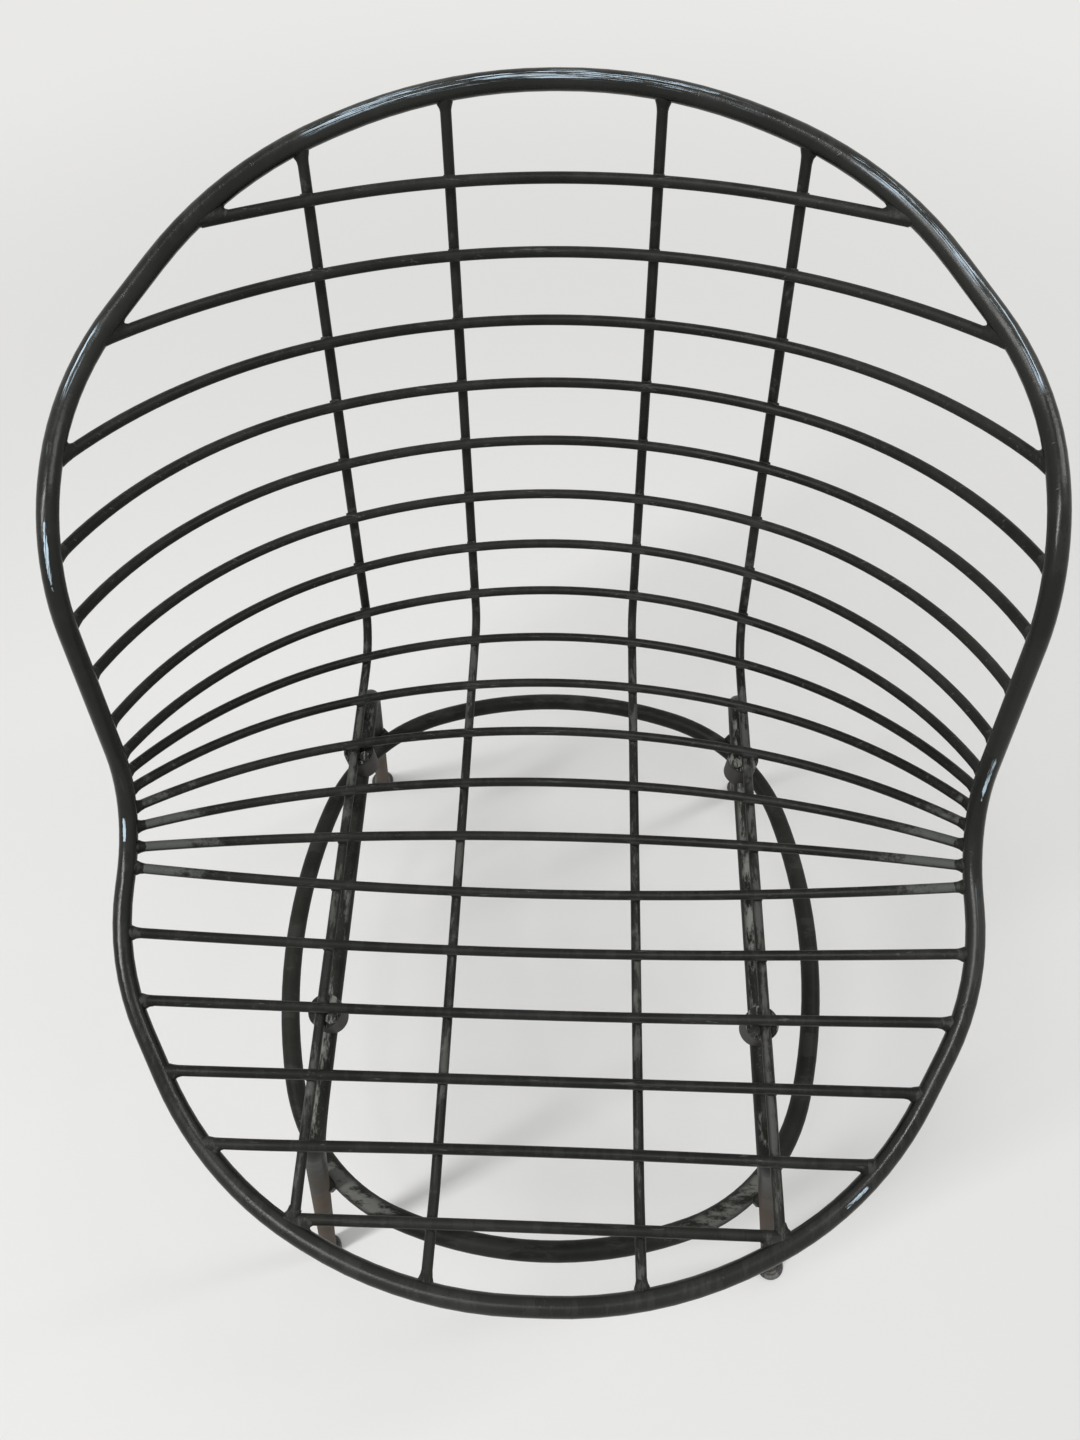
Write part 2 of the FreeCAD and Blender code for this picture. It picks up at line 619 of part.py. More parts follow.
def base_ring():
    body = new_body("base_ring")
    quarters = []
    for name, way in (("ring_front", -1), ("ring_rear", 1)):
        section = ring_section(body, name + "_section", way)
        path = ring_quarter(body, name + "_path", way)
        doc.recompute()
        quarters.append(pipe(body, name + "_bar", section, path))
        doc.recompute()
    mirrored = body.newObject("PartDesign::Mirrored", "ring_left_half")
    mirrored.Originals = quarters
    mirrored.MirrorPlane = (origin_plane(body, "YZ_Plane"), [""])
    body.Tip = mirrored
    body.setExpression("Placement.Base.y", RING_MIDDLE)
    body.setExpression("Placement.Base.z", "sizes.ring_height")
    return body


nodes = [thing for thing in doc.Objects if thing.TypeId == "Part::Feature"]
nodes.append(leg_frame("leg_frame_left", -1))
nodes.append(leg_frame("leg_frame_right", 1))
nodes.append(base_ring())


# Helpers for pieces made of plain solids.
def solid(kind, name, place, **sizes):
    """A plain solid with its sizes tied to the sheet."""
    thing = doc.addObject("Part::" + kind, name)
    for field, expression in sizes.items():
        thing.setExpression(field, expression)
    thing.Placement = place
    return thing


def upright(x, y, z):
    return Placement(Vector(x, y, z), Rotation())


def cut(name, base, tools):
    tool = tools[0]
    if len(tools) > 1:
        tool = doc.addObject("Part::MultiFuse", name + "_tools")
        tool.Shapes = tools
    result = doc.addObject("Part::Cut", name)
    result.Base = base
    result.Tool = tool
    result.Label = name
    return result


# Mounts: a plate welded under each outer long rod, a spacer that sits on the runner, and a bolt.
plate_top = size("outer_height") - size("rod_diameter") / 2 - size("weld_gap")
spacer_top = plate_top - size("plate_thickness")
spacer_bottom = size("runner_height") + size("leg_diameter") / 2 - size("saddle_depth")
bolt_inward = size("rod_diameter") / 2 + size("weld_gap") + size("bolt_head_width") / 2
SPACER_HEIGHT = ("sizes.outer_height - sizes.rod_diameter / 2 - sizes.weld_gap - sizes.plate_thickness"
                 " - sizes.runner_height - sizes.leg_diameter / 2 + sizes.saddle_depth")


def mount(label, side, y):
    """Plate, spacer and bolt of one mount. Returns the nodes of the plate and the spacer, and the bolt."""
    x = side * (outer.x - size("plate_inward"))
    bolt_x = side * (outer.x - bolt_inward)
    bolt_y = y - size("bolt_forward")
    hole_bottom = plate_top - size("bolt_length")
    hole_radius = "sizes.bolt_diameter / 2 + sizes.weld_gap / 2"
    disc = solid("Cylinder", label + "_disc", upright(x, y, spacer_top),
                 Radius="sizes.plate_diameter / 2", Height="sizes.plate_thickness")
    plate_hole = solid("Cylinder", label + "_plate_hole", upright(bolt_x, bolt_y, spacer_top),
                       Radius=hole_radius, Height="sizes.plate_thickness")
    plate = cut("plate_" + label, disc, [plate_hole])
    block = solid("Cylinder", label + "_block", upright(x, y, spacer_bottom),
                  Radius="sizes.spacer_diameter / 2", Height=SPACER_HEIGHT)
    along_runner = Placement(Vector(side * size("runner_spread") / 2, y + size("spacer_diameter"),
                                    size("runner_height")), Rotation(Vector(1, 0, 0), 90))
    saddle = solid("Cylinder", label + "_saddle", along_runner,
                   Radius="sizes.leg_diameter / 2 + sizes.weld_gap", Height="2 * sizes.spacer_diameter")
    blind_hole = solid("Cylinder", label + "_blind_hole", upright(bolt_x, bolt_y, hole_bottom),
                       Radius=hole_radius, Height="sizes.bolt_length")
    spacer = cut("spacer_" + label, block, [saddle, blind_hole])
    head_turn = Placement(Vector(bolt_x, bolt_y, plate_top), Rotation(Vector(0, 0, 1), HEXAGON_HALF_TURN))
    head = solid("Prism", label + "_bolt_head", head_turn,
                 Circumradius="sizes.bolt_head_width / 2 / cos(%d deg)" % HEXAGON_HALF_TURN,
                 Height="sizes.bolt_head_height")
    shank = solid("Cylinder", label + "_bolt_shank", upright(bolt_x, bolt_y, hole_bottom),
                  Radius="sizes.bolt_diameter / 2", Height="sizes.bolt_length")
    bolt = doc.addObject("Part::Fuse", label + "_bolt")
    bolt.Base = head
    bolt.Tool = shank
    return plate, spacer, bolt


def crossing_y(index):
    """Where a cross rod passes over the outer long rods."""
    return rod_paths[index].distToShape(upright_wall(outer.x))[1][0][0].y


bolts = []
for end, rod_size in (("front", "front_mount_rod"), ("rear", "rear_mount_rod")):
    for hand, side in (("left", -1), ("right", 1)):
        plate, spacer, bolt = mount("%s_%s" % (end, hand), side, crossing_y(int(size(rod_size))))
        nodes += [plate, spacer]
        bolts.append(bolt)
bolt_group = doc.addObject("Part::Compound", "mount_bolts")
bolt_group.Label = "mount_bolts"
bolt_group.Links = bolts
nodes.append(bolt_group)


# Glides: a bevelled foot disc with a cup that leans with the leg.
def glide(label, side, foot, lean, way):
    base = leg_axis_at(0, foot, lean, way)
    above = leg_axis_at(size("glide_diameter"), foot, lean, way)
    base.x *= side
    above.x *= side
    leaning = Placement(base, Rotation(Vector(0, 0, 1), above - base))
    disc = solid("Cylinder", label + "_disc", upright(base.x, base.y, 0),
                 Radius="sizes.glide_diameter / 2", Height="sizes.glide_floor - sizes.glide_bevel")
    bevel_bottom = size("glide_floor") - size("glide_bevel")
    bevel = solid("Cone", label + "_bevel", upright(base.x, base.y, bevel_bottom),
                  Radius1="sizes.glide_diameter / 2", Radius2="sizes.glide_diameter / 2 - sizes.glide_bevel",
                  Height="sizes.glide_bevel")
    sleeve = solid("Cylinder", label + "_sleeve", leaning,
                   Radius="sizes.leg_diameter / 2 + sizes.weld_gap + sizes.cup_wall",
                   Height="sizes.glide_floor + sizes.cup_height")
    bore = solid("Cylinder", label + "_bore", leaning, Radius="sizes.leg_diameter / 2 + sizes.weld_gap",
                 Height="2 * (sizes.glide_floor + sizes.cup_height)")
    room = solid("Cylinder", label + "_room", upright(base.x, base.y, size("glide_floor")),
                 Radius="sizes.glide_diameter", Height="sizes.glide_diameter")
    cup = cut(label + "_cup", sleeve, [bore])
    cup_above = doc.addObject("Part::Common", label + "_cup_above")
    cup_above.Base = cup
    cup_above.Tool = room
    result = doc.addObject("Part::MultiFuse", label)
    result.Shapes = [disc, bevel, cup_above]
    result.Refine = True
    result.Label = label
    return result


for hand, side in (("left", -1), ("right", 1)):
    nodes.append(glide("glide_front_" + hand, side, "front_foot_reach", "front_leg_lean", -1))
    nodes.append(glide("glide_rear_" + hand, side, "rear_foot_setback", "rear_leg_lean", 1))

# Every object must have come out whole before anything is written.
doc.recompute()
for thing in doc.Objects:
    if "Invalid" in thing.State or "Error" in thing.State:
        raise RuntimeError("%s failed: %s" % (thing.Name, thing.State))
for node in nodes:
    if node.Shape.isNull() or not node.Shape.isValid():
        raise RuntimeError("%s has no valid shape" % node.Label)

os.makedirs("parts", exist_ok=True)
for node in nodes:
    node.Shape.exportStep("parts/%s.step" % node.Label)
    print("%s: %d solid(s), %.0f mm3" % (node.Label, len(node.Shape.Solids), node.Shape.Volume))
print("%d nodes" % len(nodes))
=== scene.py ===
# %% [markdown]
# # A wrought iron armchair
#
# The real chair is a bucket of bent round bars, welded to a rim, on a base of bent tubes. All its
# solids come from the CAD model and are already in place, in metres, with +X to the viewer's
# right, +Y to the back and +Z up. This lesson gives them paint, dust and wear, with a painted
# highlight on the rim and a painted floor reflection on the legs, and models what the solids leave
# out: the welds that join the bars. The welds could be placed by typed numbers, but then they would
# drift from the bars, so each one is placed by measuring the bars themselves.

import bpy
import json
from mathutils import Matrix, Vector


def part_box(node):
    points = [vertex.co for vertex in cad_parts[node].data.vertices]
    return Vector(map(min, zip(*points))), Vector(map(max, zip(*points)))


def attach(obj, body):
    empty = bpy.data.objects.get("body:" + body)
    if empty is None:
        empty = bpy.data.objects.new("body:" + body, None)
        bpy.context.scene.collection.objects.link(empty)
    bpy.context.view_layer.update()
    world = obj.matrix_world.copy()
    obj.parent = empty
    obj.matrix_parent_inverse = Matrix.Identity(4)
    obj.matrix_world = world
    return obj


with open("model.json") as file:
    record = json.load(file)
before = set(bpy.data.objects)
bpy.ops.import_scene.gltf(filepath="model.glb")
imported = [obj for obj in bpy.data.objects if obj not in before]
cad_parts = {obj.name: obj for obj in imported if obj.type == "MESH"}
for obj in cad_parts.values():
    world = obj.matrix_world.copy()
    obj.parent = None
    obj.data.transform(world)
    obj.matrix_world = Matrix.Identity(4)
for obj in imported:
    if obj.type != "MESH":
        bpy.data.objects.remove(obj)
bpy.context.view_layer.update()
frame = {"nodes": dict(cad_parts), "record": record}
bars = frame["nodes"]
slot_of = {part["node"]: part["material_slot"] for part in frame["record"]["subparts"]}

# %% [markdown]
# ## Floor, background and camera
#
# A pale floor with nothing on it keeps the thin dark bars easy to read. A small floor would show
# its edge in low views, so it is made wide, and what the camera sees beyond it has the same pale
# tone. The camera stands where the photograph was taken, high in front of the chair and looking
# steeply down into the bucket.

# %% Lay the paper floor
import math

import bpy

FLOOR_WIDTH = 14
UNDER_FEET = 0.0004


def start_fresh():
    """Deselect everything, because an operator acts on all that is selected."""
    if bpy.context.object and bpy.context.object.mode != "OBJECT":
        bpy.ops.object.mode_set(mode="OBJECT")
    bpy.ops.object.select_all(action="DESELECT")


start_fresh()
bpy.ops.mesh.primitive_plane_add(size=FLOOR_WIDTH, location=(0, 0, -UNDER_FEET))
floor = bpy.context.object
floor.name = "paper_floor"
print("floor", tuple(floor.dimensions))

# %% Stand the camera where the photograph was taken
CAMERA_PLACE = (0.01788, -0.25563, 1.05494)
CAMERA_TURN = (27.1847, 1.4007, 1.8429)
LENS_LENGTH = 24.28

camera_data = bpy.data.cameras.new("photo_camera")
camera_data.sensor_fit = "VERTICAL"
camera_data.sensor_height = 36
camera_data.lens = LENS_LENGTH
camera_data.clip_start = 0.02
camera = bpy.data.objects.new("photo_camera", camera_data)
camera.location = CAMERA_PLACE
camera.rotation_euler = [math.radians(angle) for angle in CAMERA_TURN]
bpy.context.scene.collection.objects.link(camera)
bpy.context.scene.camera = camera
bpy.context.scene.view_settings.view_transform = "Standard"
print("camera at", CAMERA_PLACE, "turned by", CAMERA_TURN, "degrees")

# %% [markdown]
# ## Light
#
# The room is lit by long flat lamps in its ceiling. A strong lamp over the chair's left and a
# weaker one over its right give the long, thin highlights that run along the bars. The surrounding
# world adds the rest, up to the level at which a colour renders about as it is written. A world
# bright enough to look as pale as the floor would flood the chair, so the world has two tones: one
# that lights the pieces, and a paler one that only the camera and the shine of the paint see.

# %% Hang the lamps
from mathutils import Vector

CHAIR_MIDDLE = Vector((0, 0, 0.45))
LAMP_WIDTH = 0.2


def hang_lamp(name, spot, length, watts):
    """Add a long, narrow, soft lamp that faces the chair."""
    start_fresh()
    bpy.ops.object.light_add(type="AREA", location=spot)
    lamp = bpy.context.object
    lamp.name = name
    lamp.data.shape = "RECTANGLE"
    lamp.data.size = LAMP_WIDTH
    lamp.data.size_y = length
    lamp.data.energy = watts
    lamp.rotation_euler = (CHAIR_MIDDLE - lamp.location).to_track_quat("-Z", "Y").to_euler()
    print(name, "gives", watts, "watts from", spot)


hang_lamp("ceiling_lamp_left", (-0.9, -0.5, 2.5), 1.5, 34)
hang_lamp("ceiling_lamp_right", (1.3, 0.4, 2.4), 1.4, 12)

# %% Give the world its two tones
PALE = (0.82, 0.815, 0.8, 1)
DAYLIGHT = (0.99, 0.995, 1.0, 1)
WORLD_LIGHT = 0.48


def seen_rays(tree):
    """1 for rays from the camera and for what shiny or clear surfaces show, otherwise 0."""
    rays = tree.nodes.new("ShaderNodeLightPath")
    total = rays.outputs["Is Camera Ray"]
    for label in ("Is Glossy Ray", "Is Transmission Ray"):
        either = tree.nodes.new("ShaderNodeMath")
        either.operation = "MAXIMUM"
        tree.links.new(total, either.inputs[0])
        tree.links.new(rays.outputs[label], either.inputs[1])
        total = either.outputs[0]
    return total


world = bpy.data.worlds.new("soft_room")
world.use_nodes = True
bpy.context.scene.world = world
tree = world.node_tree
light_sky = tree.nodes["Background"]
light_sky.inputs["Color"].default_value = DAYLIGHT
light_sky.inputs["Strength"].default_value = WORLD_LIGHT
seen_sky = tree.nodes.new("ShaderNodeBackground")
seen_sky.inputs["Color"].default_value = PALE
choice = tree.nodes.new("ShaderNodeMixShader")
tree.links.new(seen_rays(tree), choice.inputs[0])
tree.links.new(light_sky.outputs[0], choice.inputs[1])
tree.links.new(seen_sky.outputs[0], choice.inputs[2])
tree.links.new(choice.outputs[0], tree.nodes["World Output"].inputs["Surface"])
print("world has", len(tree.nodes), "nodes")

# %% [markdown]
# ## Shared effects
#
# Paint, dust and scuffs with their painted highlights turn up on most of the pieces, so each is
# built once as a node group and placed in every material with its own values. Each group measures
# in Object coordinates. All the pieces share one origin, so a pattern runs on from bar to bar and
# no two bars look alike.

# %% Make groups and place nodes in them


def make_group(name, inputs, outputs):
    """Make a shader node group with number and colour sockets."""
    group = bpy.data.node_groups.new(name, "ShaderNodeTree")
    kinds = {float: "NodeSocketFloat", tuple: "NodeSocketColor"}
    for label, value in inputs:
        socket = group.interface.new_socket(label, in_out="INPUT", socket_type=kinds[type(value)])
        socket.default_value = value
    for label, kind in outputs:
        group.interface.new_socket(label, in_out="OUTPUT", socket_type=kinds[kind])
    return group


def add(tree, kind, **settings):
    """Add a node, set its properties, and fill or link the inputs given with a leading i_."""
    node = tree.nodes.new("ShaderNode" + kind)
    for name, value in settings.items():
        if not name.startswith("i_"):
            setattr(node, name, value)
    for name, value in settings.items():
        if name.startswith("i_"):
            key = name[2:].replace("_", " ")
            socket = node.inputs[int(key)] if key.isdigit() else node.inputs[key]
            fill(tree, socket, value)
    return node


def fill(tree, socket, value):
    """Link a socket to another one, or write a value in it."""
    if isinstance(value, bpy.types.NodeSocket):
        tree.links.new(value, socket)
    else:
        socket.default_value = value


print("group helpers ready")

# %% Short words for the nodes that are used most


def math_node(tree, operation, first, second=0.0, clamp=False):
    """One sum, as an output socket."""
    node = add(tree, "Math", operation=operation, use_clamp=clamp, i_0=first, i_1=second)
    return node.outputs[0]


def ramp(tree, value, low, high):
    """Smooth step from 0 at low to 1 at high."""
    node = add(tree, "MapRange", interpolation_type="SMOOTHSTEP", i_Value=value,
               i_From_Min=low, i_From_Max=high)
    return node.outputs["Result"]


def noise(tree, vector, scale, detail=3.0, roughness=0.55):
    """Cloudy pattern, as its value output."""
    node = add(tree, "TexNoise", i_Vector=vector, i_Scale=scale, i_Detail=detail,
               i_Roughness=roughness)
    return node.outputs["Fac"]


def place(tree):
    """Place on the chair, in metres from its origin, as every pattern reads it."""
    return add(tree, "TexCoord").outputs["Object"]


def blend(tree, mask, under, over):
    """Colour that goes from under to over as the mask goes from 0 to 1."""
    node = add(tree, "Mix", data_type="RGBA")
    fill(tree, node.inputs["Factor"], mask)
    fill(tree, node.inputs["A"], under)
    fill(tree, node.inputs["B"], over)
    return node.outputs["Result"]


print("node helpers ready")

# %% [markdown]
# ### Paper
#
# The lamps hang over the chair, so a wide floor would fade to grey far from it. Near the chair the
# paper is plain and matt and takes the chair's shadow. Further out it changes over to an even
# paleness that only the camera and shiny surfaces see, so the floor ends without a horizon.

# %% Make the paper
PLAIN_UP_TO = 0.7
EVEN_FROM = 2.0

paper = bpy.data.materials.new("pale_paper")
paper.use_nodes = True
tree = paper.node_tree
matt = tree.nodes["Principled BSDF"]
matt.inputs["Base Color"].default_value = PALE
matt.inputs["Roughness"].default_value = 0.9
even = add(tree, "Emission", i_Color=PALE, i_Strength=1.0)
away_from_chair = add(tree, "VectorMath", operation="LENGTH", i_0=place(tree)).outputs["Value"]
far_out = ramp(tree, away_from_chair, PLAIN_UP_TO, EVEN_FROM)
even_share = math_node(tree, "MULTIPLY", far_out, seen_rays(tree))
changeover = add(tree, "MixShader", i_0=even_share, i_1=matt.outputs[0], i_2=even.outputs[0])
fill(tree, tree.nodes["Material Output"].inputs["Surface"], changeover.outputs[0])
floor.data.materials.append(paper)
print("paper material has", len(tree.nodes), "nodes")

# %% [markdown]
# ### Old paint
#
# The bars carry a thick satin coat, sprayed or dipped, with a faint orange-peel surface. It has
# greyed unevenly: some hand-long stretches are duller and a little lighter than others. Two cloudy
# patterns, one hand-sized and one finger-sized, vary the colour and the gloss, and a pattern of a
# millimetre or two, with small pits, gives the height for a slight bump. A noise node's scale is
# about the number of its clouds in a metre, so a large scale makes a fine pattern. Its values
# gather round a half, and a ramp between two levels near there picks out the brighter clouds.

# %% Build the paint group
HAND_SIZED = 9.0
FINGER_SIZED = 70.0
PIT_SIZED = 240.0
PEEL_SIZED = 620.0
FADING, MOTTLING, DULLING = 0.7, 0.4, 0.16

paint_group = make_group(
    "old_paint",
    [("Colour", (0.03, 0.03, 0.03, 1)), ("Faded", (0.06, 0.06, 0.06, 1)), ("Roughness", 0.4)],
    [("Colour", tuple), ("Roughness", float), ("Height", float)],
)
tree = paint_group
inlet = tree.nodes.new("NodeGroupInput")
outlet = tree.nodes.new("NodeGroupOutput")
spot = place(tree)
wide = noise(tree, spot, HAND_SIZED)
narrow = noise(tree, spot, FINGER_SIZED, 5.0)
faded = math_node(tree, "MULTIPLY", ramp(tree, wide, 0.42, 0.66), FADING)
mottled = math_node(tree, "MULTIPLY", ramp(tree, narrow, 0.45, 0.75), MOTTLING)
greyed = math_node(tree, "ADD", faded, mottled, clamp=True)
paint_colour = blend(tree, greyed, inlet.outputs["Colour"], inlet.outputs["Faded"])
fill(tree, outlet.inputs["Colour"], paint_colour)
duller = math_node(tree, "MULTIPLY", greyed, DULLING)
fill(tree, outlet.inputs["Roughness"], math_node(tree, "ADD", inlet.outputs["Roughness"], duller))
peel = noise(tree, spot, PEEL_SIZED, 2.0)
pits = ramp(tree, noise(tree, spot, PIT_SIZED, 4.0), 0.62, 0.74)
fill(tree, outlet.inputs["Height"], math_node(tree, "SUBTRACT", peel, pits))
print("paint group has", len(tree.nodes), "nodes")

# %% [markdown]
# ### Dust
#
# Dust settles only where a face looks up, and it is thicker in some places than in others. The
# upward part of the surface's normal gives the first, and a cloudy pattern with a sharp edge the
# second, so the dust breaks up into patches and specks. The patches are drawn out from front to
# back, along the long rods and the runners, where a cloth has wiped them, and from side to side
# on the ring.

# %% Build the dust group
SPECK_SIZED = 900.0
SPECK_SHARE = 0.35
LEVEL = 0.95

dust_inputs = [("Amount", 0.5), ("Patch Scale", 40.0), ("Steepest", 0.3)]
dust_inputs += [("Sideways", 1.7), ("Lengthways", 0.4)]
dust_group = make_group("settled_dust", dust_inputs, [("Mask", float)])
tree = dust_group
inlet = tree.nodes.new("NodeGroupInput")
outlet = tree.nodes.new("NodeGroupOutput")
spot = place(tree)
upward = add(tree, "SeparateXYZ", i_Vector=add(tree, "NewGeometry").outputs["Normal"]).outputs["Z"]
lies = ramp(tree, upward, inlet.outputs["Steepest"], LEVEL)
sideways, lengthways = inlet.outputs["Sideways"], inlet.outputs["Lengthways"]
stretch = add(tree, "CombineXYZ", i_X=sideways, i_Y=lengthways, i_Z=1)
wiped = add(tree, "Mapping", i_Vector=spot, i_Scale=stretch.outputs[0]).outputs[0]
patches = ramp(tree, noise(tree, wiped, inlet.outputs["Patch Scale"], 8.0, 0.72), 0.5, 0.57)
specks = ramp(tree, noise(tree, spot, SPECK_SIZED, 2.0), 0.6, 0.75)
specks = math_node(tree, "MULTIPLY", specks, SPECK_SHARE)
thick = math_node(tree, "ADD", patches, specks, clamp=True)
mask = math_node(tree, "MULTIPLY", lies, thick)
mask = math_node(tree, "MULTIPLY", mask, inlet.outputs["Amount"])
fill(tree, outlet.inputs["Mask"], mask)
print("dust group has", len(tree.nodes), "nodes")

# %% [markdown]
# ### Scuffs
#
# Where the chair has leaned and rubbed against walls, the paint is scraped along the bar to a pale
# blue-grey. The same pale streaks also stand for the lamps' highlight along the bar, so they are
# partly scrapes and partly a painted highlight. The streaks are long and thin and follow the bar.
# Plain noise would give round spots, so the pattern is read in coordinates of its own: the angle
# round the chair, which runs along the rim, is squeezed, and the way the face looks, which runs
# across the bar, is stretched. The faces that look up and a little forward, where the highlight
# lies, get the streaks, most of all on the crown, where hands take hold, and the low front of the
# rim gets none at all.

# %% Build the long scrapes and painted highlights
RUBBED_AND_LIT_WAY = (0, -0.56, 0.83)
CROWN = (0, 0.27, 0.745)
CROWN_RUBBED, CROWN_UNTOUCHED = 0.06, 0.12
LOW_FRONT, ARM_HEIGHT = 0.46, 0.56
UP_SQUEEZE, TURN_STRETCH, SIDE_STRETCH = 12.0, 9.0, 4.0
STREAK_SCALE = 1.3

scuff_and_highlight_inputs = [("Amount", 0.5), ("Length Scale", 14.0), ("Rubbed Side", 0.5)]
scuff_and_highlight_group = make_group("scuffs_along_the_bar", scuff_and_highlight_inputs, [("Mask", float)])
tree = scuff_and_highlight_group
inlet = tree.nodes.new("NodeGroupInput")
outlet = tree.nodes.new("NodeGroupOutput")
spot = place(tree)
split = add(tree, "SeparateXYZ", i_Vector=spot)
normal = add(tree, "NewGeometry").outputs["Normal"]
angle = math_node(tree, "ARCTAN2", split.outputs["Y"], split.outputs["X"])
along = math_node(tree, "MULTIPLY", angle, inlet.outputs["Length Scale"])
raised = math_node(tree, "MULTIPLY", split.outputs["Z"], UP_SQUEEZE)
outward = add(tree, "VectorMath", operation="NORMALIZE", i_0=spot).outputs[0]
side = add(tree, "VectorMath", operation="DOT_PRODUCT", i_0=normal, i_1=RUBBED_AND_LIT_WAY).outputs["Value"]
turned = add(tree, "VectorMath", operation="DOT_PRODUCT", i_0=normal, i_1=outward).outputs["Value"]
across = math_node(tree, "ADD", math_node(tree, "MULTIPLY", turned, TURN_STRETCH),
                   math_node(tree, "MULTIPLY", side, SIDE_STRETCH))
streak_place = add(tree, "CombineXYZ", i_X=along, i_Y=across, i_Z=raised).outputs[0]
pattern = noise(tree, streak_place, STREAK_SCALE, 5.0, 0.75)
streaks = ramp(tree, pattern, 0.53, 0.57)
from_crown = add(tree, "VectorMath", operation="DISTANCE", i_0=spot, i_1=CROWN).outputs["Value"]
off_crown = ramp(tree, from_crown, CROWN_RUBBED, CROWN_UNTOUCHED)
at_crown = math_node(tree, "SUBTRACT", 1.0, off_crown)
here_and_there = ramp(tree, noise(tree, spot, HAND_SIZED), 0.55, 0.6)
gathered = math_node(tree, "MAXIMUM", here_and_there, at_crown)
# Faces that look up and forward get the pale streaks: partly scraped paint, partly a painted
# highlight of the lamps.
rubbed = ramp(tree, side, inlet.outputs["Rubbed Side"], 0.98)
mask = math_node(tree, "MULTIPLY", math_node(tree, "MULTIPLY", streaks, gathered), rubbed)
scrapes_and_highlights = math_node(tree, "MULTIPLY", mask, ramp(tree, split.outputs["Z"], LOW_FRONT, ARM_HEIGHT))
print("the scrapes take", len(tree.nodes), "nodes")

# %% [markdown]
# Four narrow chips show where something hard struck the rim. Each has a place, a side and a
# length of its own: it covers the faces that look its way and lie within its reach. A fine
# pattern is added to the way the face looks, so that the chip's edge is ragged.

# %% Add the chips
CHIPS = [
    ((0.259, -0.033, 0.518), (-0.2, -0.88, 0.43), 0.036),
    ((0.18, -0.239, 0.443), (0.07, -0.22, 0.97), 0.009),
    ((-0.26, 0.038, 0.65), (0.21, -0.64, 0.74), 0.06),
    ((-0.26, -0.052, 0.5), RUBBED_AND_LIT_WAY, 0.008),
]
FLAKE_SIZED = 260.0
FLAKE_SHARE = 0.045
LOOKS_AWAY, LOOKS_ITS_WAY = 0.984, 0.99

mask = scrapes_and_highlights
broken = ramp(tree, pattern, 0.45, 0.48)
ragged = math_node(tree, "SUBTRACT", noise(tree, spot, FLAKE_SIZED, 5.0, 0.7), 0.5)
ragged = math_node(tree, "MULTIPLY", ragged, FLAKE_SHARE)
for middle, way, reach in CHIPS:
    gap = add(tree, "VectorMath", operation="DISTANCE", i_0=spot, i_1=middle).outputs["Value"]
    close = math_node(tree, "SUBTRACT", 1.0, ramp(tree, gap, 0.85 * reach, reach))
    facing = add(tree, "VectorMath", operation="DOT_PRODUCT", i_0=normal, i_1=way).outputs["Value"]
    facing = math_node(tree, "ADD", facing, ragged)
    struck = math_node(tree, "MULTIPLY", math_node(tree, "MULTIPLY", close, broken),
                       ramp(tree, facing, LOOKS_AWAY, LOOKS_ITS_WAY))
    mask = math_node(tree, "MAXIMUM", mask, struck)
mask = math_node(tree, "MULTIPLY", mask, inlet.outputs["Amount"], clamp=True)
fill(tree, outlet.inputs["Mask"], mask)
print("with", len(CHIPS), "chips the scuff group has", len(tree.nodes), "nodes")

# %% [markdown]
# ## Finishes
#
# Every painted finish starts from the old paint. A brown tint of stain and painted floor
# reflection, scuffs with a painted highlight, or local wear may lie over it, and dust lies over
# them all. The colours mix by masks, and each layer also makes the surface rougher, since dust and
# scraped paint have little shine. The metal never shows, because the coat is thick, so Metallic
# stays at nothing.

# %% Colours and helpers of the layers
DUST = (0.23, 0.235, 0.215, 1)
# Pale blue-grey of the rim's scrapes, which also serves as a painted highlight.
SCRAPE_AND_HIGHLIGHT_COLOUR = (0.47, 0.59, 0.68, 1)
WORN = (0.1, 0.105, 0.098, 1)
# Brown of a stain on the lower legs, partly a painted reflection of a brownish floor.
STAIN_AND_REFLECTION = (0.085, 0.065, 0.049, 1)
BROWN_TINT_DULLS, SCRAPE_DULLS, WEAR_DULLS, DUST_DULLS = 0.35, 0.2, 0.2, 0.45
SCRAPE_DEPTH = 0.6
COAT_RELIEF = 0.0003


def new_finish(name):
    """Material with a Principled shader, and its node tree."""
    material = bpy.data.materials.new(name)
    material.use_nodes = True
    return material, material.node_tree, material.node_tree.nodes["Principled BSDF"]


def use_group(tree, group, values):
    """Place a group with its own values."""
    node = tree.nodes.new("ShaderNodeGroup")
    node.node_tree = group
    for label, value in values.items():
        fill(tree, node.inputs[label], value)
    return node


def plus_share(tree, value, mask, share):
    """The value, plus a share of the mask."""
    return math_node(tree, "ADD", value, math_node(tree, "MULTIPLY", mask, share))


print("layer helpers ready")
